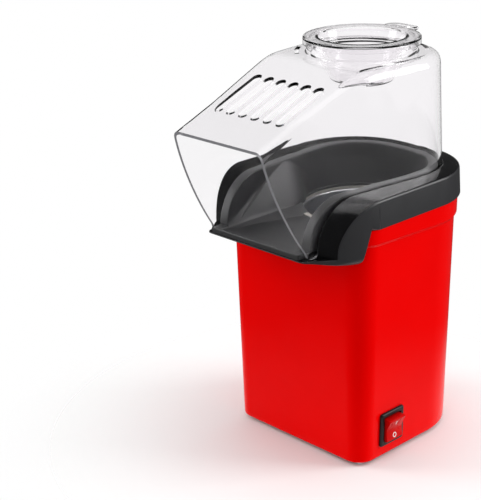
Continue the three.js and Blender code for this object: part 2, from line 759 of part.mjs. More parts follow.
// ---------------------------------------------------------------- popping chamber and its sleeve
function makeChamber() {
  const base = chamberRadius - chamberTaper;
  let chamber = turned([
    [0, chamberBottom + chamberDome],
    [base * 0.45, chamberBottom + chamberDome * 0.7],
    [base - 4, chamberBottom],
    [base, chamberBottom + 4],
    [chamberRadius, chamberTop - chamberWall],
    [chamberRadius + chamberFlange, chamberTop - chamberWall],
    [chamberRadius + chamberFlange, chamberTop],
    [chamberRadius - chamberWall, chamberTop],
    [base - chamberWall, chamberBottom + 4.4],
    [base - 4 - chamberWall / 2, chamberBottom + chamberWall],
    [base * 0.45, chamberBottom + chamberDome * 0.7 + chamberWall],
    [0, chamberBottom + chamberDome + chamberWall],
  ]);
  for (let i = 0; i < airSlotCount; i++) {
    const slot = box(
      [base - 3, -airSlotWidth / 2, -airSlotHeight / 2],
      [chamberRadius + 2, airSlotWidth / 2, airSlotHeight / 2],
    ).rotate([airSlotSlant, 0, 0])
      .translate([0, 0, chamberBottom + airSlotLift])
      .rotate([0, 0, 360 * i / airSlotCount]);
    chamber = chamber.subtract(slot);
  }
  return chamber.translate([0, spindleY, 0]);
}

function makeGasket() {
  return tube(chamberRadius + gasketStep, chamberRadius + chamberFlange, chamberTop + gap, gasketTop)
    .translate([0, spindleY, 0]);
}

function makeSleeve() {
  const top = chamberTop - chamberWall - gap;
  return turned([
    [sleeveInner, ductTop + gap],
    [sleeveInner + sleeveWall, ductTop + gap],
    [sleeveInner + sleeveWall, top - sleeveWall],
    [sleeveInner + sleeveFlange, top - sleeveWall],
    [sleeveInner + sleeveFlange, top],
    [chamberRadius + 1, top],
    [chamberRadius + 1, top - sleeveWall],
    [sleeveInner, top - sleeveWall],
  ]).translate([0, spindleY, 0]);
}

// ---------------------------------------------------------------- heater
function makeMicaFrame() {
  const low = ductTop + gap;
  const high = low + heaterLift + heaterHeight;
  const half = micaThickness / 2;
  const tabs = sleeveInner - gap;
  const plate = box([-micaReach, -half, low], [micaReach, half, high])
    .add(box([-tabs, -half, low], [tabs, half, low + heaterLift - 1]));
  return plate.add(plate.rotate([0, 0, 90])).translate([0, spindleY, 0]);
}

function makeCoil() {
  class Helix extends THREE.Curve {
    getPoint(t, target = new THREE.Vector3()) {
      const angle = 2 * Math.PI * coilTurns * t;
      const radius = micaReach + coilWire + gap;
      return target.set(radius * Math.cos(angle), radius * Math.sin(angle), coilPitch * coilTurns * t);
    }
  }
  const section = new THREE.Shape(arc(0, 0, coilWire, 0, 300, 5).map(([x, y]) => new THREE.Vector2(x, y)));
  const geometry = new THREE.ExtrudeGeometry(section, {
    steps: coilTurns * 30, extrudePath: new Helix(), bevelEnabled: false,
  });
  return toSolid(geometry).translate([0, spindleY, ductTop + heaterLift + 3]);
}

// ---------------------------------------------------------------- fan, motor
function makeDuct() {
  const low = plateTop + gap;
  return tube(ductRadius - ductWall, ductRadius, low, ductTop)
    .add(tube(impellerRadius * inletShare, ductRadius - 0.5, low, low + ductWall))
    .translate([0, spindleY, 0]);
}

function makeMount() {
  const high = mountZ + mountThickness;
  const outer = ductRadius - ductWall - gap;
  let mount = tube(outer - 2.5, outer, mountZ, high).add(disc(motorRadius, mountZ, high, fineRound));
  for (let i = 0; i < 3; i++) {
    const spoke = box([0, -spokeWidth / 2, mountZ], [outer - 1, spokeWidth / 2, high]);
    mount = mount.add(spoke.rotate([0, 0, 120 * i + 30]));
  }
  mount = mount.subtract(disc(shaftRadius + 2, mountZ - 1, high + 1, fineRound));
  for (const side of [1, -1]) {
    const screwHole = disc(motorScrewRadius + gap, mountZ - 1, high + 1, 12);
    mount = mount.subtract(screwHole.translate([side * motorScrewReach, 0, 0]));
  }
  return mount.translate([0, spindleY, 0]);
}

function makeMotorCan() {
  let can = disc(motorRadius, motorZ, motorZ + motorLength)
    .subtract(disc(shaftRadius + shaftClearance, motorZ - 1, motorZ + motorLength + 1, fineRound));
  for (const side of [1, -1]) {
    can = can.subtract(disc(motorScrewRadius, motorZ - 1, motorZ + motorScrewDepth, 12)
      .translate([side * motorScrewReach, 0, 0]));
  }
  return can.translate([0, spindleY, 0]);
}

const makeMotorCap = () => turned([
  [shaftRadius + shaftClearance, motorZ + motorLength + gap],
  [motorRadius - 1, motorZ + motorLength + gap],
  [motorRadius - 1, motorZ + motorLength + gap + motorCapLength * 0.6],
  [motorRadius * 0.45, motorZ + motorLength + gap + motorCapLength],
  [shaftRadius + shaftClearance, motorZ + motorLength + gap + motorCapLength],
]).translate([0, spindleY, 0]);

const makeMotorScrew = () => disc(motorScrewRadius - 0.15, mountZ - gap, motorZ + motorScrewDepth - 1, 12)
  .add(disc(motorScrewRadius * 1.9, mountZ - gap - 1.4, mountZ - gap, 12));

const makeShaft = () => disc(shaftRadius, impellerZ - 1, boardZ + boardThickness - gap, fineRound)
  .translate([0, spindleY, 0]);

function makeImpeller() {
  const high = impellerZ + impellerHeight;
  let fan = disc(impellerHub, impellerZ, high, fineRound)
    .add(disc(impellerRadius, high - bladeThickness, high));
  for (let i = 0; i < impellerBlades; i++) {
    const blade = box(
      [impellerHub - 1, -bladeThickness / 2, impellerZ],
      [impellerRadius - 0.5, bladeThickness / 2, high - bladeThickness / 2],
    ).translate([0, 4, 0]).rotate([0, 0, 360 * i / impellerBlades]);
    fan = fan.add(blade);
  }
  const bore = disc(shaftRadius + pressClearance, impellerZ - 1, high + 1, fineRound);
  return fan.subtract(bore).translate([0, spindleY, 0]);
}

// ---------------------------------------------------------------- base
function makeBasePlate() {
  let plate = prism(bodyOutline(-housingWall - grooveClearance), plateTop - basePlateThickness, plateTop);
  const high = plateTop + 1;
  const low = baseZ - 1;
  for (let i = 0; i < intakeSlots; i++) {
    plate = plate.subtract(box([intakeInner, -intakeWidth / 2, low], [intakeOuter, intakeWidth / 2, high])
      .rotate([0, 0, 360 * (i + 0.5) / intakeSlots]).translate([0, spindleY, 0]));
  }
  for (const [x, y] of screwPlaces) {
    plate = plate.subtract(disc(screwRadius + gap, low, high, fineRound).translate([x, y, 0]));
  }
  for (const [x, y] of footPlaces) {
    plate = plate.subtract(disc(footPeg + gap, low, high, fineRound).translate([x, y, 0]));
  }
  return plate;
}

function makeFoot() {
  const underside = plateTop - basePlateThickness;
  return turned([
    [0, 0],
    [footRadius - 0.8, 0],
    [footRadius, 0.8],
    [footRadius, underside - gap],
    [footPeg, underside - gap],
    [footPeg, plateTop - gap],
    [0, plateTop - gap],
  ], fineRound);
}

function makeBaseScrew() {
  const underside = plateTop - basePlateThickness - gap;
  const headZ = underside - screwHeadHeight;
  return turned([
    [0, headZ],
    [screwHeadRadius, headZ],
    [screwHeadRadius, underside],
    [screwRadius - 0.2, underside],
    [screwRadius - 0.2, plateTop + screwLength],
    [0, plateTop + screwLength],
  ], fineRound)
    .subtract(box([-0.5, -2.2, headZ - 1], [0.5, 2.2, headZ + 0.8]));
}

// ---------------------------------------------------------------- switch
// Drawn upright on the X = 0 plane, facing +X, then leaned with the housing's side.
const bezelInnerWidth = bezelWidth - 2 * bezelRim;
const bezelInnerHeight = bezelHeight - 2 * bezelRim;

function makeSwitchBody() {
  const w = bezelWidth / 2;
  const h = bezelHeight / 2;
  const neckW = w - bezelFlange;
  const neckH = h - bezelFlange;
  const frame = (inset, z) => atHeight([
    [inset - h, inset - w],
    [h - inset, inset - w],
    [h - inset, w - inset],
    [inset - h, w - inset],
  ], z);
  const flange = loft([frame(0, gap), frame(0, 1), frame(1, bezelProud)], facingX);
  return flange
    .add(box([-switchDepth, -neckW, -neckH], [gap + 0.5, neckW, neckH]))
    .subtract(box([-rockerPocket, -bezelInnerWidth / 2, -bezelInnerHeight / 2],
      [bezelProud + 1, bezelInnerWidth / 2, bezelInnerHeight / 2]));
}

// The rocker's two faces meet in a shallow valley over its pivot.
function makeRocker() {
  const h = bezelInnerHeight / 2 - rockerClearance;
  const w = bezelInnerWidth / 2 - rockerClearance;
  const crown = bezelProud + rockerProud;
  const section = [
    [crown, -h + 0.9],
    [bezelProud + rockerProud * 0.45, 0],
    [crown, h - 0.9],
    [crown - 1.2, h - 0.1],
    [0.4, h - 0.6],
    ...arc(0.4, 0, h - 0.6, 90, 270, 10).slice(1, -1).map(([x, z]) => [0.4 + (x - 0.4) * rockerDepth, z]),
    [0.4, -h + 0.6],
    [crown - 1.2, -h + 0.1],
  ];
  const geometry = new THREE.ExtrudeGeometry(shapeOf(section), { depth: 2 * w, bevelEnabled: false });
  geometry.translate(0, 0, -w);
  geometry.rotateX(Math.PI / 2);
  return toSolid(geometry).rotate([0, rockerRest, 0]);
}

function makeTerminal() {
  const tip = -switchDepth - terminalLength;
  return box([tip, -0.4, -2.4], [-switchDepth - gap, 0.4, 2.4])
    .subtract(box([tip + 2, -1, -0.8], [tip + 3.6, 1, 0.8]));
}

// ---------------------------------------------------------------- small parts
function makeGland() {
  const neck = glandHole - gap;
  return alongY(turned([
    [glandBore, -housingWall - glandInside],
    [neck, -housingWall - glandInside],
    [neck, gap],
    [glandHole + 2.4, gap],
    [glandHole + 2.4, 1.6],
    [glandHole + 1.2, 3],
    [glandBore, 3],
  ], fineRound));
}

const makeThermostat = () => disc(thermostatRadius, 0, thermostatHeight, fineRound)
  .add(disc(thermostatRadius + 2, 0, 1.2, fineRound));

const makeFuse = () => turned([
  [0, 0], [0.5, 0], [0.5, 3], [1.8, 4], [1.8, 13], [0.5, 14], [0.5, 17], [0, 17],
], 12);

const makeRectifier = () => tube(boardInner, motorRadius - 3, boardZ, boardZ + boardThickness, fineRound)
  .translate([0, spindleY, 0]);

// ---------------------------------------------------------------- assembly
add('housing', makeHousing(), 'red');
add('collar', makeCollar(), 'charcoal');
add('tray', makeTray(), 'tray');
add('hood', makeHood(), 'clear');
add('cup_lid', makeCupLid(), 'clear');
add('popping_chamber', makeChamber(), 'aluminium');
add('chamber_gasket', makeGasket(), 'silicone');
add('chamber_sleeve', makeSleeve(), 'steel');
add('mica_frame', makeMicaFrame(), 'mica');
add('heater_coil', makeCoil(), 'wire');
add('fan_duct', makeDuct(), 'greyPlastic');
add('motor_mount', makeMount(), 'greyPlastic');
add('motor_can', makeMotorCan(), 'steel');
add('motor_cap', makeMotorCap(), 'blackPlastic');
add('motor_shaft', makeShaft(), 'steel');
add('impeller', makeImpeller(), 'greyPlastic');
add('rectifier_board', makeRectifier(), 'board');
for (const [i, side] of [1, -1].entries()) {
  add(`motor_screw_${i + 1}`, makeMotorScrew(), 'steel', [side * motorScrewReach, spindleY, 0]);
}
add('base_plate', makeBasePlate(), 'blackPlastic');
footPlaces.forEach(([x, y], i) => add(`foot_${i + 1}`, makeFoot(), 'rubber', [x, y, 0]));
screwPlaces.forEach(([x, y], i) => add(`base_screw_${i + 1}`, makeBaseScrew(), 'steel', [x, y, 0]));
add('cord_gland', makeGland(), 'blackPlastic', [0, bodyRear + leanAt(glandZ), glandZ]);

const sensorX = sleeveInner + sleeveWall + gap;
add('thermostat', makeThermostat().rotate([0, 90, 0]), 'blackPlastic', [sensorX, spindleY, thermostatZ]);
add('thermal_fuse', makeFuse(), 'brass', [-(sensorX + 2), spindleY, thermostatZ - 8]);

const switchGroup = new THREE.Group();
switchGroup.position.set(halfWidth + leanAt(switchZ), switchY, switchZ);
switchGroup.rotation.y = Math.atan(flare / sideHeight);
for (const [name, solid, material, place] of [
  ['switch_body', makeSwitchBody(), 'blackPlastic', [0, 0, 0]],
  ['switch_rocker', makeRocker(), 'redPlastic', [0, 0, 0]],
  ['switch_terminal_1', makeTerminal(), 'brass', [0, 0, terminalSpacing / 2]],
  ['switch_terminal_2', makeTerminal(), 'brass', [0, 0, -terminalSpacing / 2]],
]) {
  add(name, solid, material, place);
  switchGroup.add(popcornMaker.children[popcornMaker.children.length - 1]);
}
popcornMaker.add(switchGroup);

// The origin is the middle of the footprint of the whole, on the surface it stands on.
popcornMaker.position.y = (mouthReach - collarRear) / 2;

export default popcornMaker;
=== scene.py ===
# Hot-air popcorn maker: the visible surfaces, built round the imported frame.
# Shapes are worked out in millimetres and made in metres. The spout faces -Y and the switch is on +X.
import math

import bmesh
import bpy
import numpy as np
from mathutils import Matrix, Vector


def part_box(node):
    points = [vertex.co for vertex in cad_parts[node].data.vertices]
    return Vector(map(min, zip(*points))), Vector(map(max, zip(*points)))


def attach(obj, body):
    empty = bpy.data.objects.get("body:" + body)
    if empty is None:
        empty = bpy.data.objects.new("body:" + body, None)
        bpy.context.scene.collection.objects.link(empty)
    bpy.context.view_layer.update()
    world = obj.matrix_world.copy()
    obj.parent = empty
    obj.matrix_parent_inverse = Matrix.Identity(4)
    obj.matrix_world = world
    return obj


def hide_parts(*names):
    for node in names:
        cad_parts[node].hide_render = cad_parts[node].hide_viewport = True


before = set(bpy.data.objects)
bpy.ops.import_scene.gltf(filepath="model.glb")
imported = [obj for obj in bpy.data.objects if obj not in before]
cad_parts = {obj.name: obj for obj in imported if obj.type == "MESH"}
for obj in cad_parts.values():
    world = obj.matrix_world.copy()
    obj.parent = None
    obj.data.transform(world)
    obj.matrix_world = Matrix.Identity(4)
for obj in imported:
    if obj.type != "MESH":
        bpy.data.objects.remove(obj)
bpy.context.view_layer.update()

# --- sizes taken from the frame
MM = 0.001


def corners(node):
    """The lowest and highest corner of a frame node, in millimetres."""
    low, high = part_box(node)
    return np.array(low) / MM, np.array(high) / MM


HOUSING_LOW, HOUSING_HIGH = corners("housing")
COLLAR_LOW, COLLAR_HIGH = corners("collar")
HOOD_LOW, HOOD_HIGH = corners("hood")
LID_LOW, LID_HIGH = corners("cup_lid")
CHAMBER_LOW, CHAMBER_HIGH = corners("popping_chamber")
SHAFT_LOW, SHAFT_HIGH = corners("motor_shaft")
FOOT_LOW, FOOT_HIGH = corners("foot_1")
SPINDLE = 11.3                     # the fan's spindle behind the plane that depths are counted from
PLANE_Y = (SHAFT_LOW[1] + SHAFT_HIGH[1]) / 2 - SPINDLE

# --- shape sizes, millimetres
HOUSING_WALL = 2.2
FLARE = 3.75                       # each side leans out by this from base to joint
BODY_HALF = 60.5
BODY_FRONT = 55.8
BODY_REAR = 66.0
FRONT_CORNER = 13.0
REAR_CORNER = 49.0
BASE_ROUND = 2.0
BELT_HEIGHT = 14.0
BELT_PROUD = 1.7
BELT_STEP = 2.6                    # height of the belt's lower slope
BELT_TILT = 0.035                  # the belt's slope falls this much per millimetre of depth
FACE_Y = BODY_FRONT + FLARE
BASE_Z = HOUSING_LOW[2]
JOINT_Z = HOUSING_HIGH[2]
FRONT_JOINT_Z = JOINT_Z - 21.9

COLLAR_HALF = COLLAR_HIGH[0]
COLLAR_REAR = COLLAR_HIGH[1] - PLANE_Y
COLLAR_TOP = JOINT_Z + 19.2
COLLAR_WALL = 2.6
BAND_LEAN = 1.3
LIP_FRONT = PLANE_Y - COLLAR_LOW[1]
LIP_HALF = 46.0
LIP_CORNER = 5.0
LIP_Z = JOINT_Z - 10.7
SPOUT_RISE = 6.0
SPOUT_LENGTH = LIP_FRONT - FACE_Y
SWEEP_RADIUS = 32.0                # the round fall from the collar's top to the spout
SWEEP_SETBACK = 17.0
FOOT_FORWARD = 6.4                 # the same fall starts this much further forward at the hood's foot
RIM_FORWARD = 10.6                 # and this much at the tray's rim
SHELF_RISE = 1.2
GROOVE_DEPTH = 4.0
GROOVE_GAP = 0.5
LEDGE_Z = LIP_Z - GROOVE_DEPTH

HOOD_HALF = HOOD_HIGH[0]
HOOD_REAR = HOOD_HIGH[1] - PLANE_Y
HOOD_WALL = 2.2
HOOD_CORNER = 44.0
HOOD_DRAFT = 3.0
DOME_TOP = COLLAR_TOP + 78.8
DOME_EDGE = 8.0
CHUTE_EDGE = 6.5
FOLD_Y = -34.7
MOUTH_REACH = PLANE_Y - HOOD_LOW[1]
MOUTH_DROP = 35.0
MOUTH_HALF = 41.9
MOUTH_FOOT_HALF = 43.2
MOUTH_FOOT_Y = -90.5
TAPER_START = 8.0
TONGUE_Z = LEDGE_Z + 0.4
RING_RADIUS = 37.6
RING_HOLE = 35.2
RING_TOP = DOME_TOP + 8.0
SLOT_COUNT = 6
SLOT_WIDTH = 7.0
SLOT_PITCH = 11.1
SLOT_FRONT = -98.0
SLOT_BACK = -57.5

TRAY_RIM = 7.2
TRAY_LIP = 3.3                     # from the lip's front to where the channel starts
TRAY_WALL = 1.6
CHAMBER_RADIUS = 41.15
FLOOR_Z = LIP_Z - 1.2              # channel floor at the lip
FLOOR_RISE = 2.5
CHANNEL_COVE = 12.0
CHANNEL_BACK = -24.0

# --- mesh helpers


def in_place(points):
    """Millimetres from the reference plane to metres in the frame."""
    return (np.asarray(points, float) + [0.0, PLANE_Y, 0.0]) * MM


def make_object(name, data):
    piece = bpy.data.objects.new(name, data)
    bpy.context.scene.collection.objects.link(piece)
    return piece


def shade(bm, mesh, sharp_degrees):
    """Writes a mesh with smooth faces and with sharp edges past an angle."""
    limit = math.radians(sharp_degrees)
    for face in bm.faces:
        face.smooth = True
    for edge in bm.edges:
        edge.smooth = len(edge.link_faces) == 2 and edge.calc_face_angle(0.0) < limit
    bm.to_mesh(mesh)
    bm.free()
    return mesh


def finish_mesh(bm, name, sharp_degrees=32.0, outward=True):
    """Merges doubles, turns faces outwards, sets the shading and returns an object."""
    bmesh.ops.remove_doubles(bm, verts=bm.verts, dist=2e-6)
    bmesh.ops.dissolve_degenerate(bm, edges=bm.edges, dist=1e-6)
    if outward:
        bmesh.ops.recalc_face_normals(bm, faces=bm.faces)
    return make_object(name, shade(bm, bpy.data.meshes.new(name), sharp_degrees))


def reshade(piece, sharp_degrees):
    bm = bmesh.new()
    bm.from_mesh(piece.data)
    shade(bm, piece.data, sharp_degrees)


def add_grid(bm, rows, close_rows=False, close_columns=False):
    """Adds quads between rows of equal length. Points are metres."""
    grid = [[bm.verts.new(p) for p in row] for row in rows]
    row_count = len(grid)
    column_count = len(grid[0])
    for i in range(row_count if close_rows else row_count - 1):
        upper = grid[i]
        lower = grid[(i + 1) % row_count]
        for j in range(column_count if close_columns else column_count - 1):
            k = (j + 1) % column_count
            bm.faces.new((upper[j], lower[j], lower[k], upper[k]))
    return grid


def closed_piece(name, rows, sharp_degrees=32.0, ring=False):
    """A closed piece from closed rows of points, which meet in a ring or have their ends filled."""
    bm = bmesh.new()
    grid = add_grid(bm, rows, close_rows=ring, close_columns=True)
    if not ring:
        bm.faces.new(grid[0])
        bm.faces.new(grid[-1][::-1])
    return finish_mesh(bm, name, sharp_degrees)


def curve(corners, count):
    """Points on the smooth curve that three or four corner points pull, both ends included."""
    t = np.linspace(0.0, 1.0, count + 1)[:, None]
    lines = list(np.array(corners, float))
    while len(lines) > 1:
        lines = [(1 - t) * a + t * b for a, b in zip(lines, lines[1:])]
    return lines[0]


def rounded(points, radii, steps=4):
    """Rounds the inner corners of an open line. A radius of 0 repeats the corner point."""
    points = [np.asarray(p, float) for p in points]
    shaped = [points[0]]
    for before, corner, after, radius in zip(points, points[1:], points[2:], radii):
        back = before - corner
        ahead = after - corner
        room = 0.46 * min(np.linalg.norm(back), np.linalg.norm(ahead))
        reach = min(radius, room)
        start = corner + back * (reach / max(np.linalg.norm(back), 1e-9))
        end = corner + ahead * (reach / max(np.linalg.norm(ahead), 1e-9))
        shaped.extend(curve((start, corner, end), steps))
    shaped.append(points[-1])
    return shaped


def arc(cx, cy, radius, start, end, count):
    """Points on an arc, both ends included, degrees."""
    angles = np.radians(np.linspace(start, end, count + 1))
    return np.stack([cx + radius * np.cos(angles), cy + radius * np.sin(angles)], 1)


def line(a, b, count):
    """Points from a towards b, without b."""
    t = np.linspace(0.0, 1.0, count, endpoint=False)[:, None]
    return np.asarray(a, float) * (1 - t) + np.asarray(b, float) * t


def at_height(point, z):
    """A point's place in plan, at another height."""
    return (point[0], point[1], z)


def loop_from_right(right):
    """A closed loop from its right side, front centre to rear centre, with the left side mirrored."""
    left = right[1:-1][::-1] * ([-1.0] + [1.0] * (right.shape[1] - 1))
    return np.concatenate([right, left])


def turned_piece(name, profile, segments=128, centre_y=SPINDLE, sharp_degrees=40.0):
    """A turned solid. Its (radius, height) points are a closed loop or start and end on the axis."""
    bm = bmesh.new()
    rows = []
    for angle in np.linspace(0.0, 2 * math.pi, segments, endpoint=False):
        x, y = math.cos(angle), math.sin(angle)
        rows.append(in_place([(r * x, centre_y + r * y, z) for r, z in profile]))
    add_grid(bm, rows, close_rows=True, close_columns=profile[0][0] > 0)
    return finish_mesh(bm, name, sharp_degrees)


def turned_at_origin(name, profile, segments=64):
    """A turned solid on the Z axis at the origin."""
    return turned_piece(name, profile, segments, -PLANE_Y, 32.0)


def moved(piece, place, degrees=0.0, axis="Z"):
    """Turns a piece's mesh about an axis through the origin, then moves it, in metres."""
    piece.data.transform(Matrix.Rotation(math.radians(degrees), 4, axis))
    piece.data.transform(Matrix.Translation(Vector(place)))
    return piece


def apply_modifiers(piece):
    """Replaces a piece's mesh by its evaluated one and drops the modifiers."""
    graph = bpy.context.evaluated_depsgraph_get()
    mesh = bpy.data.meshes.new_from_object(piece.evaluated_get(graph))
    piece.modifiers.clear()
    piece.data = mesh


def combine(piece, other, operation="DIFFERENCE"):
    """Cuts a closed piece with another, or joins the two with UNION, and sets the shading again."""
    modifier = piece.modifiers.new("combine", "BOOLEAN")
    modifier.operation = operation
    modifier.solver = "EXACT"
    modifier.object = other
    apply_modifiers(piece)
    bpy.data.objects.remove(other)
    reshade(piece, 40.0)


def merge_into(piece, *others):
    """Adds the other pieces' meshes to the first one's, as separate closed bodies."""
    bm = bmesh.new()
    bm.from_mesh(piece.data)
    for other in others:
        bm.from_mesh(other.data)
        bpy.data.objects.remove(other)
    bm.to_mesh(piece.data)
    bm.free()


# --- materials


def set_sockets(node, values):
    for name, value in values.items():
        node.inputs[name].default_value = value


def add_node(tree, kind, values):
    node = tree.nodes.new(kind)
    set_sockets(node, values)
    return node


def wire(tree, *links):
    """Each link is a node, its output, another node and its input."""
    for start, output, end, entry in links:
        tree.links.new(start.outputs[output], end.inputs[entry])


def new_surface(name, shader):
    """A material, its tree, its shader and the node that its patterns take their place from."""
    material = bpy.data.materials.new(name)
    material.use_nodes = True
    tree = material.node_tree
    bsdf = tree.nodes["Principled BSDF"]
    set_sockets(bsdf, shader)
    return material, tree, bsdf, tree.nodes.new("ShaderNodeTexCoord")


def add_noise(tree, place, output, scale, detail, roughness=0.5):
    values = {"Scale": scale, "Detail": detail, "Roughness": roughness}
    noise = add_node(tree, "ShaderNodeTexNoise", values)
    wire(tree, (place, output, noise, "Vector"))
    return noise


def colour_by(tree, noise, bsdf, colours, stops=(0.0, 1.0)):
    ramp = tree.nodes.new("ShaderNodeValToRGB")
    for element, stop, colour in zip(ramp.color_ramp.elements, stops, colours):
        element.position = stop
        element.color = (*colour, 1.0)
    wire(tree, (noise, "Fac", ramp, "Fac"), (ramp, "Color", bsdf, "Base Color"))


def roughen_by(tree, noise, bsdf, low, high):
    span = add_node(tree, "ShaderNodeMapRange", {"To Min": low, "To Max": high})
    wire(tree, (noise, "Fac", span, "Value"), (span, "Result", bsdf, "Roughness"))


def emboss_by(tree, noise, bsdf, strength, distance):
    height = add_node(tree, "ShaderNodeBump", {"Strength": strength, "Distance": distance})
    wire(tree, (noise, "Fac", height, "Height"), (height, "Normal", bsdf, "Normal"))


PLASTIC_SPREAD = 0.06              # how far the roughness strays to each side
METAL_SPREAD = 0.08


def plastic(name, dark, light, roughness, scale, bump, grain_scale=900.0, **shader):
    """Moulded plastic: slow colour variation, finer roughness variation and a fine surface texture."""
    material, tree, bsdf, place = new_surface(name, shader)
    colour_by(tree, add_noise(tree, place, "Object", scale, 4.0, 0.55), bsdf, (dark, light), (0.3, 0.7))
    smudge = add_noise(tree, place, "Object", scale * 6, 5.0, 0.6)
    roughen_by(tree, smudge, bsdf, roughness - PLASTIC_SPREAD, roughness + PLASTIC_SPREAD)
    emboss_by(tree, add_noise(tree, place, "Object", grain_scale, 2.0), bsdf, bump, 0.0003)
    return material


def metal(name, dark, light, roughness, stretch):
    """Drawn or brushed metal: fine streaks along one direction."""
    material, tree, bsdf, place = new_surface(name, {"Metallic": 1.0})
    mapping = add_node(tree, "ShaderNodeMapping", {"Scale": stretch})
    wire(tree, (place, "Object", mapping, "Vector"))
    streaks = add_noise(tree, mapping, "Vector", 60.0, 6.0, 0.65)
    colour_by(tree, streaks, bsdf, (dark, light))
    roughen_by(tree, streaks, bsdf, roughness - METAL_SPREAD, roughness + METAL_SPREAD)
    emboss_by(tree, streaks, bsdf, 0.05, 0.0002)
    return material


def clear_plastic(name, tint, roughness, clear):
    """Clear moulding that bends light, with a faint unevenness in its tint and gloss."""
    material, tree, bsdf, place = new_surface(name, {"IOR": 1.3, "Transmission Weight": clear})
    haze = add_noise(tree, place, "Object", 14.0, 3.0)
    colour_by(tree, haze, bsdf, ([0.985 * c for c in tint], tint))
    roughen_by(tree, haze, bsdf, roughness * 0.7, roughness * 1.3)
    return material


RED = plastic("red_gloss", (0.74, 0.0, 0.0), (0.81, 0.0005, 0.0005), 0.16, 9.0, 0.015,
              **{"IOR": 1.12, "Specular IOR Level": 1.0, "Specular Tint": (1.0, 0.02, 0.01, 1.0)})
COLLAR_BLACK = plastic("collar_black", (0.022, 0.022, 0.024), (0.03, 0.03, 0.032), 0.34, 12.0, 0.03)
# The collar's black again, glossier and much darker: the darker colour is painted shade on the shelf faces
SHELF_PAINTED_SHADE = plastic("shelf_painted_shade", (0.003, 0.003, 0.0035), (0.006, 0.006, 0.0065), 0.14, 12.0, 0.004)
TRAY_BLACK = plastic("tray_black", (0.022, 0.022, 0.023), (0.032, 0.032, 0.034), 0.46, 14.0, 0.012)
CLEAR = clear_plastic("clear_cover", (0.975, 0.965, 0.975), 0.03, 1.0)
# Grey and less clear: painted shade for the hood's cut edges
CLEAR_EDGE_PAINTED_SHADE = clear_plastic("clear_cover_edge_painted_shade", (0.34, 0.34, 0.36), 0.25, 0.4)
SWITCH_BLACK = plastic("switch_black", (0.004, 0.0035, 0.0035), (0.008, 0.007, 0.007), 0.36, 30.0, 0.03,
                       **{"Specular IOR Level": 0.3})
ROCKER_RED = plastic("rocker_red", (0.44, 0.001, 0.001), (0.54, 0.002, 0.002), 0.28, 30.0, 0.01,
                     **{"IOR": 1.2, "Specular Tint": (1.0, 0.1, 0.08, 1.0)})
MARK_WHITE = plastic("mark_white", (0.74, 0.72, 0.7), (0.82, 0.8, 0.78), 0.5, 60.0, 0.05)
BASE_BLACK = plastic("base_black", (0.014, 0.014, 0.014), (0.024, 0.024, 0.024), 0.5, 14.0, 0.25)
DUCT_GREY = plastic("duct_grey", (0.14, 0.145, 0.155), (0.18, 0.185, 0.195), 0.5, 14.0, 0.2)
RUBBER = plastic("foot_rubber", (0.012, 0.012, 0.012), (0.022, 0.021, 0.021), 0.85, 40.0, 0.5)
SILICONE = plastic("gasket_silicone", (0.4, 0.38, 0.35), (0.5, 0.48, 0.44), 0.7, 30.0, 0.2)
MICA = plastic("mica_sheet", (0.45, 0.36, 0.2), (0.7, 0.6, 0.4), 0.5, 45.0, 0.3, grain_scale=260.0)
BOARD = plastic("circuit_board", (0.02, 0.12, 0.04), (0.035, 0.18, 0.07), 0.4, 60.0, 0.2)
ALUMINIUM = metal("spun_aluminium", (0.55, 0.56, 0.58), (0.75, 0.76, 0.78), 0.3, (1.0, 1.0, 18.0))
STEEL = metal("pressed_steel", (0.45, 0.46, 0.48), (0.62, 0.63, 0.65), 0.35, (1.0, 1.0, 8.0))
WIRE = metal("heater_wire", (0.2, 0.17, 0.15), (0.36, 0.33, 0.3), 0.5, (4.0, 4.0, 4.0))
BRASS = metal("brass_blade", (0.6, 0.42, 0.16), (0.78, 0.57, 0.25), 0.35, (1.0, 6.0, 1.0))


def give_materials(piece, *materials):
    piece.data.materials.clear()
    for material in materials:
        piece.data.materials.append(material)


def paint(piece, material):
    """Gives a piece one material."""
    give_materials(piece, material)
    return piece


# --- Geometry Nodes: repeats. Each tree takes the object's own mesh as the shape to repeat.


def repeat_tree(name, *sizes):
    tree = bpy.data.node_groups.new(name, "GeometryNodeTree")
    tree.interface.new_socket("Geometry", in_out="INPUT", socket_type="NodeSocketGeometry")
    for size_name, kind in (*sizes, ("Finish", "Material")):
        tree.interface.new_socket(size_name, in_out="INPUT", socket_type="NodeSocket" + kind)
    tree.interface.new_socket("Geometry", in_out="OUTPUT", socket_type="NodeSocketGeometry")
    return tree, tree.nodes.new("NodeGroupInput"), tree.nodes.new("GeometryNodeInstanceOnPoints")


def end_tree(tree, source, copies):
    """Puts the shape on the points, makes the copies real and gives them their finish."""
    real = tree.nodes.new("GeometryNodeRealizeInstances")
    finish = tree.nodes.new("GeometryNodeSetMaterial")
    output = tree.nodes.new("NodeGroupOutput")
    wire(tree, (source, "Geometry", copies, "Instance"), (copies, "Instances", real, "Geometry"),
         (real, "Geometry", finish, "Geometry"), (source, "Finish", finish, "Material"),
         (finish, "Geometry", output, "Geometry"))
    return tree


def line_tree():
    """Copies of the shape in a straight line."""
    tree, source, copies = repeat_tree("copies_in_line", ("Count", "Int"), ("Pitch", "Vector"))
    places = tree.nodes.new("GeometryNodeMeshLine")
    wire(tree, (source, "Count", places, "Count"), (source, "Pitch", places, "Offset"),
         (places, "Mesh", copies, "Points"))
    return end_tree(tree, source, copies)


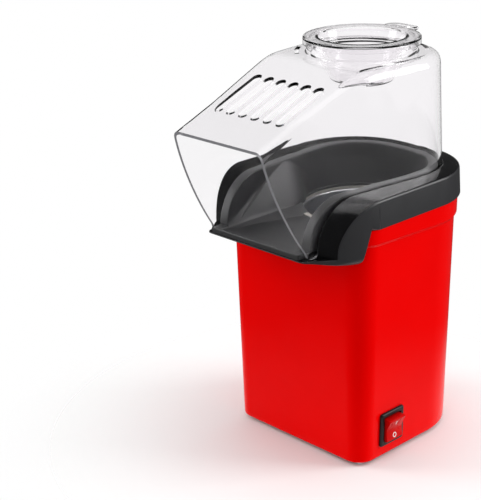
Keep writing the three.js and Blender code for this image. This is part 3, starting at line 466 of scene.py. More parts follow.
def ring_tree():
    """Copies of the shape turned round the Z axis, evenly spaced."""
    tree, source, copies = repeat_tree("copies_in_ring", ("Count", "Int"))
    places = tree.nodes.new("GeometryNodePoints")
    index = tree.nodes.new("GeometryNodeInputIndex")
    share = tree.nodes.new("ShaderNodeMath")
    share.operation = "DIVIDE"
    angle = tree.nodes.new("ShaderNodeMath")
    angle.operation = "MULTIPLY"
    angle.inputs[1].default_value = 2 * math.pi
    turn = tree.nodes.new("ShaderNodeCombineXYZ")
    wire(tree, (source, "Count", places, "Count"), (index, "Index", share, 0), (source, "Count", share, 1),
         (share, "Value", angle, 0), (angle, "Value", turn, "Z"), (places, "Points", copies, "Points"),
         (turn, "Vector", copies, "Rotation"))
    return end_tree(tree, source, copies)


def trapezoid_tree():
    """A copy of the shape at each corner of a trapezoid in the XY plane."""
    sizes = {"Front width": "Bottom Width", "Rear width": "Top Width", "Depth": "Height"}
    tree, source, copies = repeat_tree("copies_at_corners", *((size, "Float") for size in sizes))
    outline = tree.nodes.new("GeometryNodeCurvePrimitiveQuadrilateral")
    outline.mode = "TRAPEZOID"
    outline.inputs["Offset"].default_value = 0.0
    wire(tree, *((source, size, outline, entry) for size, entry in sizes.items()))
    wire(tree, (outline, "Curve", copies, "Points"))
    return end_tree(tree, source, copies)


IN_LINE = line_tree()
IN_RING = ring_tree()
AT_CORNERS = trapezoid_tree()


def repeat(piece, tree, sizes, material, place):
    """Repeats a piece by a tree, applies it and moves the result to its place, in metres."""
    modifier = piece.modifiers.new("repeat", "NODES")
    modifier.node_group = tree
    identifiers = {s.name: s.identifier for s in tree.interface.items_tree if s.in_out == "INPUT"}
    for name, value in {**sizes, "Finish": material}.items():
        modifier[identifiers[name]] = value
    apply_modifiers(piece)
    return moved(piece, place)


# --- shared lines of the body


def joint_line(y):
    """Height of the housing's top edge, which dips in front and rises under the spout."""
    far = LIP_FRONT + 20.0
    far_rise = SPOUT_RISE * (far - FACE_Y) / SPOUT_LENGTH
    ys = [-far, -(FACE_Y - 1.7), -(FACE_Y - HOUSING_WALL), -(FACE_Y - 8.0), 200.0]
    zs = [FRONT_JOINT_Z + far_rise, FRONT_JOINT_Z, FRONT_JOINT_Z + 1.5, JOINT_Z, JOINT_Z]
    return np.interp(y, ys, zs)


def hood_half_at(y):
    """Half-width of the hood at foot level."""
    ys = [-MOUTH_REACH, MOUTH_FOOT_Y, TAPER_START]
    return np.interp(y, ys, [MOUTH_HALF, MOUTH_FOOT_HALF, HOOD_HALF])


def ease(share):
    """A share from 0 to 1 that starts and ends softly."""
    share = np.clip(share, 0.0, 1.0)
    return share * share * (3.0 - 2.0 * share)


SWEEP_STEPS = 54
REAR_STEPS = 48
REAR_SHARES = (0.75, 0.5, 0.25, 0.0)  # stations on the straight stretch across the rear


def sweep_stations(forward, lift, low):
    """The fall from the collar's level top to the front, as (y, z) from its foot up to its top."""
    centre_y = -(FACE_Y - SWEEP_SETBACK) - forward
    centre_z = COLLAR_TOP - SWEEP_RADIUS + lift
    above = max(0.0, (low - centre_z) / SWEEP_RADIUS)
    start = 180.0 - math.degrees(math.asin(above))
    return arc(centre_y, centre_z, SWEEP_RADIUS, start, 90.0, SWEEP_STEPS)


def hood_edge(inset, front_y, front_steps, low, forward):
    """The hood's foot line moved inwards, from the lip up the sweep and round to the rear centre."""
    fall = sweep_stations(forward, SHELF_RISE, low)
    top = COLLAR_TOP + SHELF_RISE
    rear_y = HOOD_REAR - HOOD_CORNER
    rear_x = HOOD_HALF - HOOD_CORNER
    stations = [
        *line((front_y, low), (fall[0][0], low), front_steps),
        (fall[0][0], low),
        *fall,
        *line((fall[-1][0], top), (rear_y, top), 17)[1:],
    ]
    return [
        *((hood_half_at(y) - inset, y, z) for y, z in stations),
        *((x, y, top) for x, y in arc(rear_x, rear_y, HOOD_CORNER - inset, 0.0, 90.0, REAR_STEPS)),
        *((rear_x * share, HOOD_REAR - inset, top) for share in REAR_SHARES),
    ]


# --- housing


def body_outline(grow):
    """The housing's outline at its foot, grown outwards, as (x, y)."""
    front = FRONT_CORNER + grow
    rear = REAR_CORNER + grow
    corner_x = BODY_HALF - FRONT_CORNER
    rear_x = BODY_HALF - REAR_CORNER
    side = BODY_HALF + grow
    front_y = -(BODY_FRONT + grow)
    rear_y = BODY_REAR - REAR_CORNER
    right = np.concatenate([
        line((0.0, front_y), (corner_x, front_y), 10),
        arc(corner_x, FRONT_CORNER - BODY_FRONT, front, -90.0, 0.0, 40)[:-1],
        line((side, FRONT_CORNER - BODY_FRONT), (side, rear_y), 24),
        arc(rear_x, rear_y, rear, 0.0, 90.0, REAR_STEPS)[:-1],
        line((rear_x, BODY_REAR + grow), (0.0, BODY_REAR + grow), 4),
        [(0.0, BODY_REAR + grow)],
    ])
    return loop_from_right(right)


def housing_grow(z, y):
    """How far the housing's outside stands out from its base outline at a height."""
    lean = FLARE * (z - BASE_Z) / (JOINT_Z - BASE_Z)
    belt = JOINT_Z - BELT_HEIGHT - BELT_TILT * y
    low = np.clip(BASE_ROUND - (z - BASE_Z), 0.0, BASE_ROUND)
    edge = BASE_ROUND - math.sqrt(BASE_ROUND ** 2 - low ** 2)
    return lean + BELT_PROUD * ease((z - belt) / BELT_STEP) - edge


def make_housing():
    flat = body_outline(0.0)
    step = body_outline(1.0) - flat
    heights = np.concatenate([
        BASE_Z + BASE_ROUND * (1.0 - np.cos(np.radians(np.linspace(0.0, 90.0, 6)))),
        np.linspace(BASE_Z + 6.0, JOINT_Z - 24.0, 12),
        np.linspace(JOINT_Z - 20.0, JOINT_Z - 4.0, 30),
        [JOINT_Z - 2.0, JOINT_Z],
    ])
    rows = []
    for (x, y), (dx, dy) in zip(flat, step):
        top_y = y + dy * (FLARE + BELT_PROUD)
        top = float(joint_line(top_y))
        outside = []
        inside = []
        for z in np.minimum(heights, top):
            grow = housing_grow(z, y)
            outside.append((x + dx * grow, y + dy * grow, z))
            grow -= HOUSING_WALL if z > BASE_Z + BASE_ROUND else HOUSING_WALL - BASE_ROUND * 0.4
            inside.append((x + dx * grow, y + dy * grow, z))
        rows.append(in_place(outside + inside[::-1]))
    housing = closed_piece("housing_shell", rows, 40.0, ring=True)
    for cutter in (make_vent_cutters(), make_switch_cutter(), make_gland_cutter()):
        combine(housing, cutter)
    return paint(housing, RED)


VENT_COUNT = 5
VENT_WIDTH = 30.0
VENT_HEIGHT = 2.4
VENT_PITCH = 5.0
VENT_LOW = 35.3                    # the lowest vent above the housing's foot


def stadium_y(name, half_length, radius, depth, steps=10):
    """A bar with round ends along X, as deep as given along Y, at the origin, in metres."""
    outline = np.concatenate([
        arc(half_length - radius, 0.0, radius, -90.0, 90.0, steps),
        arc(radius - half_length, 0.0, radius, 90.0, 270.0, steps),
    ])
    ends = (-depth / 2, depth / 2)
    return closed_piece(name, [[(x * MM, y * MM, z * MM) for x, z in outline] for y in ends])


def make_vent_cutters():
    """Five long slots across the back, one above the other."""
    slot = stadium_y("vent_slot", VENT_WIDTH / 2, VENT_HEIGHT / 2, 16.0)
    low = in_place((0.0, BODY_REAR, BASE_Z + VENT_LOW))
    return repeat(slot, IN_LINE, {"Count": VENT_COUNT, "Pitch": (0.0, 0.0, VENT_PITCH * MM)}, RED, low)


def make_box(name, low, high):
    """A box between two corners, in millimetres from the reference plane."""
    bm = bmesh.new()
    bmesh.ops.create_cube(bm, size=1.0)
    low, high = in_place((low, high))
    for vert in bm.verts:
        vert.co = Vector(low + (np.array(vert.co) + 0.5) * (high - low))
    return finish_mesh(bm, name)


BEZEL_WIDTH = 23.5
BEZEL_HEIGHT = 25.0
BEZEL_PROUD = 2.2
BEZEL_RIM = 3.2
BEZEL_FLANGE = 2.0
SWITCH_Y = -25.4
SWITCH_LIFT = 21.0
SWITCH_Z = BASE_Z + SWITCH_LIFT
SWITCH_DEPTH = 14.0
SWITCH_HOLE_GAP = 0.3
SWITCH_LEAN = math.degrees(math.atan(FLARE / (JOINT_Z - BASE_Z)))
SWITCH_X = BODY_HALF + FLARE * SWITCH_LIFT / (JOINT_Z - BASE_Z)


def make_switch_cutter():
    half_w = BEZEL_WIDTH / 2 - BEZEL_FLANGE + SWITCH_HOLE_GAP
    half_h = BEZEL_HEIGHT / 2 - BEZEL_FLANGE + SWITCH_HOLE_GAP
    return make_box("switch_hole", (BODY_HALF - SWITCH_DEPTH, SWITCH_Y - half_w, SWITCH_Z - half_h),
                    (BODY_HALF + 10.0, SWITCH_Y + half_w, SWITCH_Z + half_h))


GLAND_Z = BASE_Z + 17.0
GLAND_HOLE = 5.2


def along_y(piece, y, z):
    """Turns a piece drawn on the Z axis to face +Y and puts it at a place, in millimetres."""
    return moved(piece, in_place((0.0, y, z)), -90.0, "X")


def make_gland_cutter():
    profile = [(0.0, -10.0), (GLAND_HOLE, -10.0), (GLAND_HOLE, 10.0), (0.0, 10.0)]
    return along_y(turned_at_origin("gland_hole", profile), BODY_REAR, GLAND_Z)


# --- collar


def collar_side():
    """Right side of the spout's outline, lip to full width, as (x, y)."""
    return curve([
        (LIP_HALF, LIP_CORNER - LIP_FRONT),
        (LIP_HALF + 7.0, 13.0 - LIP_FRONT),
        (COLLAR_HALF, -(FACE_Y + 8.0)),
        (COLLAR_HALF, SWEEP_SETBACK - FACE_Y),
    ], 59)


def collar_x(y):
    """Half-width of the collar's outer edge."""
    side = collar_side()
    return np.interp(y, side[:, 1], side[:, 0])


def collar_lines():
    """Matching outer and inner edges of the collar, front centre to rear centre."""
    back_of_lip = COLLAR_WALL - LIP_FRONT
    corner = (float(hood_half_at(back_of_lip)) + GROOVE_GAP, back_of_lip, LEDGE_Z)
    lip = [
        (LIP_HALF - LIP_CORNER - 0.5, -LIP_FRONT, LEDGE_Z),
        (LIP_HALF - 0.4, 0.3 - LIP_FRONT, LEDGE_Z),
        (LIP_HALF, LIP_CORNER - LIP_FRONT, LEDGE_Z),
    ]
    fall = sweep_stations(0.0, 0.0, LEDGE_Z)
    foot = (fall[0][0], LEDGE_Z)
    side = [*line((LIP_CORNER - LIP_FRONT, LEDGE_Z), foot, 11), foot, *fall]
    radius = REAR_CORNER + FLARE
    rear_y = COLLAR_REAR - radius
    rear_x = COLLAR_HALF - radius
    outer = [
        *line((0.0, -LIP_FRONT, LEDGE_Z), lip[0], 13),
        *curve(lip, 8)[:-1],
        *((collar_x(y), y, z) for y, z in side),
        *line((COLLAR_HALF, fall[-1][0], COLLAR_TOP), (COLLAR_HALF, rear_y, COLLAR_TOP), 17)[1:],
        *((x, y, COLLAR_TOP) for x, y in arc(rear_x, rear_y, radius, 0.0, 90.0, REAR_STEPS)),
        *((rear_x * share, COLLAR_REAR, COLLAR_TOP) for share in REAR_SHARES),
    ]
    inner = [
        *line((0.0, back_of_lip, LEDGE_Z), corner, 13),
        *[corner] * 8,
        *hood_edge(-GROOVE_GAP, back_of_lip, 11, LEDGE_Z, FOOT_FORWARD),
    ]
    return loop_from_right(np.array(outer, float)), loop_from_right(np.array(inner, float))


COLLAR_GAP = 0.3
BEND_STEPS = 6
# The collar's lower outer edge is rounded off where it overhangs the housing's front corners
UNDER_EDGE_Y = [-82.0, -76.0, -68.0, -58.0, -52.0, -46.0]
UNDER_EDGE = [0.0, 1.5, 8.0, 16.0, 9.0, 0.0]


def make_collar():
    outer, inner = collar_lines()
    rows = []
    for outer_top, inner_top in zip(outer, inner):
        across = (inner_top - outer_top) * (1.0, 1.0, 0.0)
        width = np.linalg.norm(across)
        inward = across / width
        wall = min(COLLAR_WALL, 0.42 * width)
        foot = min(float(joint_line(outer_top[1])) + COLLAR_GAP, outer_top[2] - 0.8)
        lean = BAND_LEAN * max(0.0, outer_top[2] - JOINT_Z - 3.0) / (COLLAR_TOP - JOINT_Z + 2.0)
        crease = outer_top + inward * lean
        groove = max(inner_top[2] - GROOVE_DEPTH - 0.6, foot + 0.3)
        groove = min(groove, inner_top[2] - 0.4)
        ceiling = max(inner_top[2] - COLLAR_WALL, groove + 0.15)
        outer_ceiling = max(outer_top[2] - COLLAR_WALL, foot + 0.25)
        edge = float(np.interp(outer_top[1], UNDER_EDGE_Y, UNDER_EDGE))
        inset = min(max(wall, edge + 1.5), 0.9 * width)
        inside_foot = min(foot + 1.6, outer_ceiling - 0.05) if edge > 0 else foot + 0.05
        profile = [
            at_height(outer_top + inward * inset, foot),
            at_height(outer_top, foot),
            crease,
            inner_top,
            at_height(inner_top, groove),
            at_height(inner_top - inward * wall, groove),
            at_height(inner_top - inward * wall, ceiling),
            at_height(crease + inward * wall, outer_ceiling),
            at_height(outer_top + inward * wall, max(inside_foot, foot + 0.05 + edge * 0.5)),
            at_height(outer_top + inward * inset, inside_foot),
        ]
        shaped = rounded(profile[:6], (edge, 1.7, 0.9, 0.0), BEND_STEPS)
        rows.append(in_place(np.concatenate([shaped, profile[6:]])))
    bm = bmesh.new()
    add_grid(bm, rows, close_rows=True, close_columns=True)
    # The shelf faces take the second material, a darker copy of the collar's black that paints shade on
    # them
    shelf = range(2 * (BEND_STEPS + 1) - 2, 4 * (BEND_STEPS + 1))
    for index, face in enumerate(bm.faces):
        face.material_index = int(index % len(rows[0]) in shelf)
    collar = finish_mesh(bm, "collar_ring", 50.0)
    merge_into(collar, make_spout_floor())
    collar.data.materials.append(COLLAR_BLACK)
    collar.data.materials.append(SHELF_PAINTED_SHADE)
    return collar


def make_spout_floor():
    """The plate under the spout, from the housing's face to just behind the lip."""
    rows = []
    for y in np.linspace(0.4 - LIP_FRONT, 1.9 - FACE_Y, 24):
        half = float(collar_x(y)) - 0.5 - float(np.interp(y, UNDER_EDGE_Y, UNDER_EDGE))
        if y < LIP_CORNER - LIP_FRONT:
            half = LIP_HALF - 0.5 - 4.5 * (LIP_CORNER - LIP_FRONT - y) / LIP_CORNER
        low = float(joint_line(y)) + 0.32
        high = min(low + 1.6, LEDGE_Z - 0.1)
        xs = np.linspace(-half, half, 9)
        rows.append(in_place([(x, y, low) for x in xs] + [(x, y, high) for x in xs[::-1]]))
    return closed_piece("spout_floor", rows)


# --- tray


def floor_height(y):
    """The channel's floor rises from the lip to the chamber."""
    flat_y = SPINDLE - CHAMBER_RADIUS - 5.0
    return np.interp(y, [-(LIP_FRONT - TRAY_LIP), flat_y], [FLOOR_Z, FLOOR_Z + FLOOR_RISE])


def tray_lines():
    """The rim's inner and outer edge, front centre to rear centre."""
    back_of_lip = TRAY_LIP - LIP_FRONT
    outer_in = HOOD_WALL + GROOVE_GAP
    inner_in = outer_in + TRAY_RIM
    corner_x = float(hood_half_at(back_of_lip)) - inner_in
    outer_x = MOUTH_FOOT_HALF - outer_in
    lip_xs = [*np.linspace(0.0, corner_x, 16), *np.linspace(corner_x, outer_x - 1.0, 6)[1:]]
    inner = [
        *((min(x, corner_x), back_of_lip, LIP_Z) for x in [*lip_xs, outer_x]),
        *hood_edge(inner_in, back_of_lip, 6, LIP_Z, RIM_FORWARD),
    ]
    outer = [
        *((x, -LIP_FRONT, LIP_Z) for x in lip_xs),
        (outer_x, 1.0 - LIP_FRONT, LIP_Z),
        *hood_edge(outer_in, back_of_lip, 6, LIP_Z, RIM_FORWARD),
    ]
    return loop_from_right(np.array(inner, float)), loop_from_right(np.array(outer, float))


RIB_LOW = (-81.6, 159.4)           # depth and height of its two ends
RIB_HIGH = (-43.6, 184.8)
RIB_SIZE = 0.6


def make_ribs():
    """A thin slanting ridge on each inner wall of the channel."""
    way = np.array(RIB_HIGH) - RIB_LOW
    side = np.array((-way[1], way[0])) / np.linalg.norm(way) * RIB_SIZE
    ribs = []
    for hand in (-1.0, 1.0):
        rows = []
        for t in np.linspace(0.0, 1.0, 16):
            y, z = np.array(RIB_LOW) + way * t
            wall_x = float(hood_half_at(y)) - HOOD_WALL - GROOVE_GAP - TRAY_RIM
            share = np.clip((y + LIP_FRONT - TRAY_LIP) / (CHANNEL_BACK + LIP_FRONT - TRAY_LIP), 0.0, 1.0)
            wall_x -= 0.5 * CHANNEL_COVE * share * np.clip(1.0 - (z - FLOOR_Z) / WALL_LEAN, 0.0, 1.0)
            rows.append(in_place([
                (hand * (wall_x - 0.7), y, z),
                (hand * (wall_x + RIB_SIZE), y - side[0], z - side[1]),
                (hand * (wall_x + RIB_SIZE), y + side[0], z + side[1]),
            ]))
        ribs.append(closed_piece("rib", rows))
    return ribs


WALL_LEAN = 30.0                   # height of the coved foot of the channel's walls
BOWL_LEAN = 20.0
BOWL_BLEND = 22.0


def make_tray():
    inner, outer = tray_lines()
    centre = np.array((0.0, SPINDLE))
    channel_front = -(LIP_FRONT - TRAY_LIP)
    rows = []
    for rim_in, rim_out in zip(inner, outer):
        x, y, top = rim_in
        ray = rim_in[:2] - centre
        reach = np.linalg.norm(ray)
        mouth = centre + ray / reach * min(CHAMBER_RADIUS, reach - 0.4)
        share = np.clip((y - channel_front) / (CHANNEL_BACK - channel_front), 0.0, 1.0)
        floor = float(floor_height(y))
        foot = np.array((x - np.sign(x) * min(CHANNEL_COVE * share, 0.8 * abs(x)), y))
        blend = ease((y - CHANNEL_BACK) / BOWL_BLEND)
        beside = centre + ray / reach * min(CHAMBER_RADIUS + 0.9, reach - 0.2)
        foot = foot * (1.0 - blend) + beside * blend
        knee_z = min(floor + WALL_LEAN * share * (1.0 - blend) + BOWL_LEAN * blend, top - 0.25)
        knee_z = max(knee_z, floor + 0.3)
        outward = (rim_out - rim_in) * (1.0, 1.0, 0.0)
        outward = outward / np.linalg.norm(outward)
        skirt = min(FLOOR_Z + 0.9, top - 3.6)
        skirt_in = rim_out - outward * TRAY_WALL
        wall_out = rim_in + outward * TRAY_WALL
        knee = np.array((x, y, knee_z))
        floor_point = np.array((*foot, floor))
        under_rim = max(top - TRAY_WALL, skirt + 0.2)
        profile = [
            at_height(mouth, floor),
            floor_point,
            knee,
            rim_in,
            rim_out,
            at_height(rim_out, skirt),
            at_height(skirt_in, skirt),
        ]
        shaped = rounded(profile, (3.0, 1.6, 1.1, 0.9, 0.5), 5)
        under = [
            at_height(skirt_in, under_rim),
            at_height(wall_out, under_rim),
            at_height(knee + outward * TRAY_WALL, max(knee_z - 0.4, floor - TRAY_WALL + 0.4)),
            at_height(floor_point, floor - TRAY_WALL),
            at_height(mouth, floor - TRAY_WALL),
        ]
        rows.append(in_place(np.concatenate([shaped, under])))
    tray = closed_piece("popping_tray", rows, 38.0, ring=True)
    merge_into(tray, *make_ribs())
    return paint(tray, TRAY_BLACK)


# --- hood
# The hood is a closed shell made past its mouth and below its foot, then trimmed by one side outline.
SHELL_FRONT = -150.0
SHELL_FOOT = 140.0
FOLD_SOFTNESS = 4.0


def hood_outline():
    """Outer edge of the right side at foot level, rear middle to front middle, as (x, y)."""
    rear_y = HOOD_REAR - HOOD_CORNER
    centre_x = HOOD_HALF - HOOD_CORNER
    side_ys = np.linspace(rear_y, SHELL_FRONT, 60)[1:]
    front_half = float(hood_half_at(SHELL_FRONT))
    return np.concatenate([
        line((0.0, HOOD_REAR), (centre_x, HOOD_REAR), 4),
        arc(centre_x, rear_y, HOOD_CORNER, 90.0, 0.0, 56),
        np.stack([hood_half_at(side_ys), side_ys], 1),
        line((front_half, SHELL_FRONT), (0.0, SHELL_FRONT), 14)[1:],
        [(0.0, SHELL_FRONT)],
    ])


def inset_outline(outline, inset):
    """Moves the right side of the hood's outline inwards."""
    rear_y = HOOD_REAR - HOOD_CORNER
    centre = np.array((HOOD_HALF - HOOD_CORNER, rear_y))
    drawn_in = outline.copy()
    for i, (x, y) in enumerate(outline):
        if y > rear_y and x > centre[0]:
            ray = (x, y) - centre
            drawn_in[i] = centre + ray * (1.0 - inset / np.linalg.norm(ray))
        elif y > rear_y:
            drawn_in[i] = (x, y - inset)
        else:
            drawn_in[i] = (x - inset * min(1.0, x / 30.0), y)
    return drawn_in


def roof_height(y):
    """Height of dome top and chute roof along the middle, with a soft fold between them."""
    slope = MOUTH_DROP / (MOUTH_REACH + FOLD_Y)
    t = FOLD_Y - np.asarray(y, float)
    return DOME_TOP - slope * 0.5 * (t + np.sqrt(t * t + FOLD_SOFTNESS ** 2)) + 0.02


def hood_inset_at(z):
    """How far the hood's sides have drawn in at a height."""
    return HOOD_DRAFT * (z - COLLAR_TOP) / (DOME_TOP - COLLAR_TOP)


def hood_skin(angles, outline, wall):
    """At each angle about the spindle: the foot's reach, the roof edge's reach, height and slant."""
    centre = np.array((0.0, SPINDLE))

    def reach(inset, at):
        rays = inset_outline(outline, inset) - centre
        turns = np.arctan2(rays[:, 0], rays[:, 1])
        order = np.argsort(turns)
        return np.interp(at, turns[order], np.hypot(*rays.T)[order])

    low = reach(hood_inset_at(SHELL_FOOT) + wall, angles)
    top = reach(hood_inset_at(DOME_TOP) + wall, angles)
    for _ in range(4):
        ys = centre[1] + top * np.cos(angles)
        zs = roof_height(ys) - wall
        share = (zs - SHELL_FOOT) / (DOME_TOP - SHELL_FOOT)
        top = low + (reach(hood_inset_at(DOME_TOP) + wall, angles) - low) * share
    slant = np.gradient(top, angles) / top
    return low, top, zs, np.sqrt(1.0 + slant * slant)


def hood_profile(angle, low, top, corner_z, slant, wall, levels=12, spokes=44):
    """Side view of one skin at one angle, foot to the ring's foot, as (radius, height)."""
    centre_y = SPINDLE
    corner_y = centre_y + top * math.cos(angle)
    edge = float(np.interp(corner_y, [-MOUTH_REACH, FOLD_Y], [CHUTE_EDGE, DOME_EDGE])) - wall
    edge = max(edge, 0.5)
    points = []
    for t in np.linspace(0.0, 1.0, levels + 1):
        z = SHELL_FOOT + (corner_z - edge - SHELL_FOOT) * t
        points.append((low + (top - low) * (z - SHELL_FOOT) / (corner_z - SHELL_FOOT), z))
    start = np.array(points[-1])
    corner = np.array((top, corner_z))
    inner = top - min(edge * slant, 0.6 * (top - RING_RADIUS))
    end = np.array((inner, float(roof_height(centre_y + inner * math.cos(angle))) - wall))
    points.extend(tuple(point) for point in curve((start, corner, end), 8)[1:])
    stop = RING_RADIUS + 0.9 if wall == 0 else RING_HOLE + 0.02
    for r in np.linspace(inner, stop, spokes + 1)[1:]:
        points.append((r, float(roof_height(centre_y + r * math.cos(angle))) - wall))
    return points


def make_hood_shell():
    centre_y = SPINDLE
    outline = hood_outline()
    rays = outline - (0.0, centre_y)
    angles = np.arctan2(rays[:, 0], rays[:, 1])
    outer = hood_skin(angles, outline, 0.0)
    inner = hood_skin(angles, outline, HOOD_WALL)
    ring_edge = 0.7
    right = []
    for i, angle in enumerate(angles):
        outside = hood_profile(angle, *(part[i] for part in outer), 0.0)
        inside = hood_profile(angle, *(part[i] for part in inner), HOOD_WALL)
        ring = rounded([
            outside[-1],
            (RING_RADIUS, outside[-1][1] + 0.9),
            (RING_RADIUS, RING_TOP),
            (RING_HOLE, RING_TOP),
            (RING_HOLE, inside[-1][1] + 0.3),
        ], (0.9, ring_edge, ring_edge), 4)
        right.append([(r, z, angle) for r, z in [*outside, *ring[1:], *inside[::-1]]])
    loop = right + [[(r, z, -angle) for r, z, angle in row] for row in right[1:-1][::-1]]
    rows = []
    for row in loop:
        rows.append(in_place([(r * math.sin(a), centre_y + r * math.cos(a), z) for r, z, a in row]))
    return closed_piece("clear_hood", rows, 40.0, ring=True)


def side_prism(name, outline, half_width):
    """A bar across the body with a side outline of (y, z) points."""
    rows = [in_place([(x, y, z) for y, z in outline]) for x in (-half_width, half_width)]
    return closed_piece(name, rows, 20.0)


def hood_trim():
    """Everything in front of the mouth and below the hood's foot."""
    radius = SWEEP_RADIUS - GROOVE_DEPTH
    centre_y = -(FACE_Y - SWEEP_SETBACK) - FOOT_FORWARD
    centre_z = COLLAR_TOP + SHELF_RISE - SWEEP_RADIUS
    start = math.degrees(math.asin((TONGUE_Z + 1.8 - centre_z) / radius))
    sweep = arc(centre_y, centre_z, radius, 90.0, 180.0 - start, 40)
    tongue = [(-80.5, TONGUE_Z + 1.6), (-84.0, TONGUE_Z), (-87.0, TONGUE_Z), (-89.3, TONGUE_Z + 1.6)]
    drop = DOME_TOP - MOUTH_DROP
    mouth = curve([
        (MOUTH_FOOT_Y, TONGUE_Z + 4.5),
        (MOUTH_FOOT_Y - 14.0, TONGUE_Z + 24.0),
        (-MOUTH_REACH + 5.0, drop - 24.0),
        (-MOUTH_REACH, drop),
    ], 40)
    outline = np.concatenate([
        [(HOOD_REAR + 20.0, SHELL_FOOT - 10.0), (HOOD_REAR + 20.0, centre_z + radius)],
        sweep, tongue, mouth,
        [(-MOUTH_REACH - 2.5, drop + 15.0), (SHELL_FRONT - 20.0, drop + 15.0),
         (SHELL_FRONT - 20.0, SHELL_FOOT - 10.0)],
    ])
    return side_prism("hood_trim", outline, 80.0)


def ring_sector(name, inner, outer, half_angle, low, high, steps=16):
    """A piece of a thick ring about the Z axis at the origin, in metres."""
    rows = []
    for angle in np.radians(np.linspace(-half_angle, half_angle, steps + 1)):
        x, y = math.cos(angle) * MM, math.sin(angle) * MM
        section = ((inner, low), (outer, low), (outer, high), (inner, high))
        rows.append([(r * x, r * y, z * MM) for r, z in section])
    return closed_piece(name, rows)


VENT_ARCS = (60.0, 219.0)
VENT_ARC_HALF = 13.0
VENT_ARC_INNER = RING_RADIUS + 5.0
VENT_ARC_OUTER = VENT_ARC_INNER + 3.0


def make_roof_slots():
    """Bars for the slots across the chute's roof."""
    half_length = (SLOT_BACK - SLOT_FRONT) / 2
    bar = stadium_y("roof_slot", half_length, SLOT_WIDTH / 2, 60.0, 12)
    moved(bar, (0.0, 0.0, 0.0), 90.0, "X")
    moved(bar, (0.0, 0.0, 0.0), 90.0, "Z")
    low_x = -SLOT_PITCH * (SLOT_COUNT - 1) / 2
    place = in_place((low_x, (SLOT_FRONT + SLOT_BACK) / 2, DOME_TOP - 18.0))
    return repeat(bar, IN_LINE, {"Count": SLOT_COUNT, "Pitch": (SLOT_PITCH * MM, 0.0, 0.0)}, CLEAR, place)


def edge_faces(cutter):
    """Gives a cutter's faces the grey edge material, so that the cut edges of the clear plastic carry
    painted shade.
    """
    give_materials(cutter, CLEAR, CLEAR_EDGE_PAINTED_SHADE)
    for face in cutter.data.polygons:
        face.material_index = 1
    return cutter


def make_hood():
    hood = make_hood_shell()
    # The second material, grey painted shade, goes on the faces that the trim cuts
    give_materials(hood, CLEAR, CLEAR_EDGE_PAINTED_SHADE)
    combine(hood, edge_faces(hood_trim()))
    combine(hood, make_roof_slots())
    for centre_angle in VENT_ARCS:
        vent = ring_sector("arc_vent", VENT_ARC_INNER, VENT_ARC_OUTER, VENT_ARC_HALF, -8.0, 8.0)
        combine(hood, moved(vent, in_place((0.0, SPINDLE, DOME_TOP)), centre_angle))
    return hood


# --- measuring-cup lid
LID_WALL = 1.8
LID_RIM = 5.0
LID_GAP = 0.3
CUP_TOP = 31.0
CUP_BOTTOM = 21.0
CUP_WALL = 1.6
TAB_REACH = 8.0
TAB_HALF = 13.0
TAB_ANGLE = 90.0                   # straight back
TAB_SLOT = (1.2, 3.2, 5.0)


def make_lid():
    top = LID_HIGH[2]
    bottom = LID_LOW[2]
    ring = RING_TOP + LID_GAP
    skirt_inner = RING_RADIUS + 0.5
    skirt_outer = skirt_inner + LID_WALL
    profile = rounded([
        (0.0, bottom),
        (CUP_BOTTOM, bottom),
        (CUP_TOP, ring),
        (skirt_inner, ring),
        (skirt_inner, top - LID_RIM),
        (skirt_outer, top - LID_RIM),
        (skirt_outer, top),
        (CUP_TOP - CUP_WALL, top),
        (CUP_BOTTOM - CUP_WALL, bottom + CUP_WALL),
        (0.0, bottom + CUP_WALL),
    ], (3.0, 0.8, 0.4, 0.5, 0.5, 1.2, 1.2, 2.0), 5)
    lid = turned_piece("cup_lid_clear", profile)
    reach = skirt_outer + TAB_REACH
    corner = TAB_HALF / 2
    outline = np.concatenate([
        [(skirt_outer - 0.9, -TAB_HALF)],
        arc(reach - corner, corner - TAB_HALF, corner, -90.0, 0.0, 10),
        arc(reach - corner, TAB_HALF - corner, corner, 0.0, 90.0, 10),
        [(skirt_outer - 0.9, TAB_HALF)],
    ])
    rows = []
    for inset, below in ((0.5, LID_WALL), (0.0, LID_WALL - 0.5), (0.0, 0.5), (0.15, 0.15), (0.5, 0.0)):
        shrink = 1.0 - inset / TAB_HALF
        rows.append([((x - inset * (x > skirt_outer)) * MM, y * shrink * MM, (top - below) * MM)
                     for x, y in outline])
    tab = closed_piece("tab", rows)
    near, far, half = TAB_SLOT
    slot = make_box("tab_slot", (skirt_outer + near, -half - PLANE_Y, top - 6.0),
                    (skirt_outer + far, half - PLANE_Y, top + 6.0))
    combine(tab, slot)
    combine(lid, moved(tab, in_place((0.0, SPINDLE, 0.0)), TAB_ANGLE), "UNION")
    return paint(lid, CLEAR)


# --- popping chamber
CHAMBER_FLANGE = 4.0
CHAMBER_TAPER = 3.0
CHAMBER_DOME = 6.0
CHAMBER_WALL = 1.2
AIR_SLOTS = 16
AIR_SLOT_SIZE = (10.0, 1.6, 11.0)
AIR_SLOT_SLANT = 30.0
AIR_SLOT_LIFT = 13.0


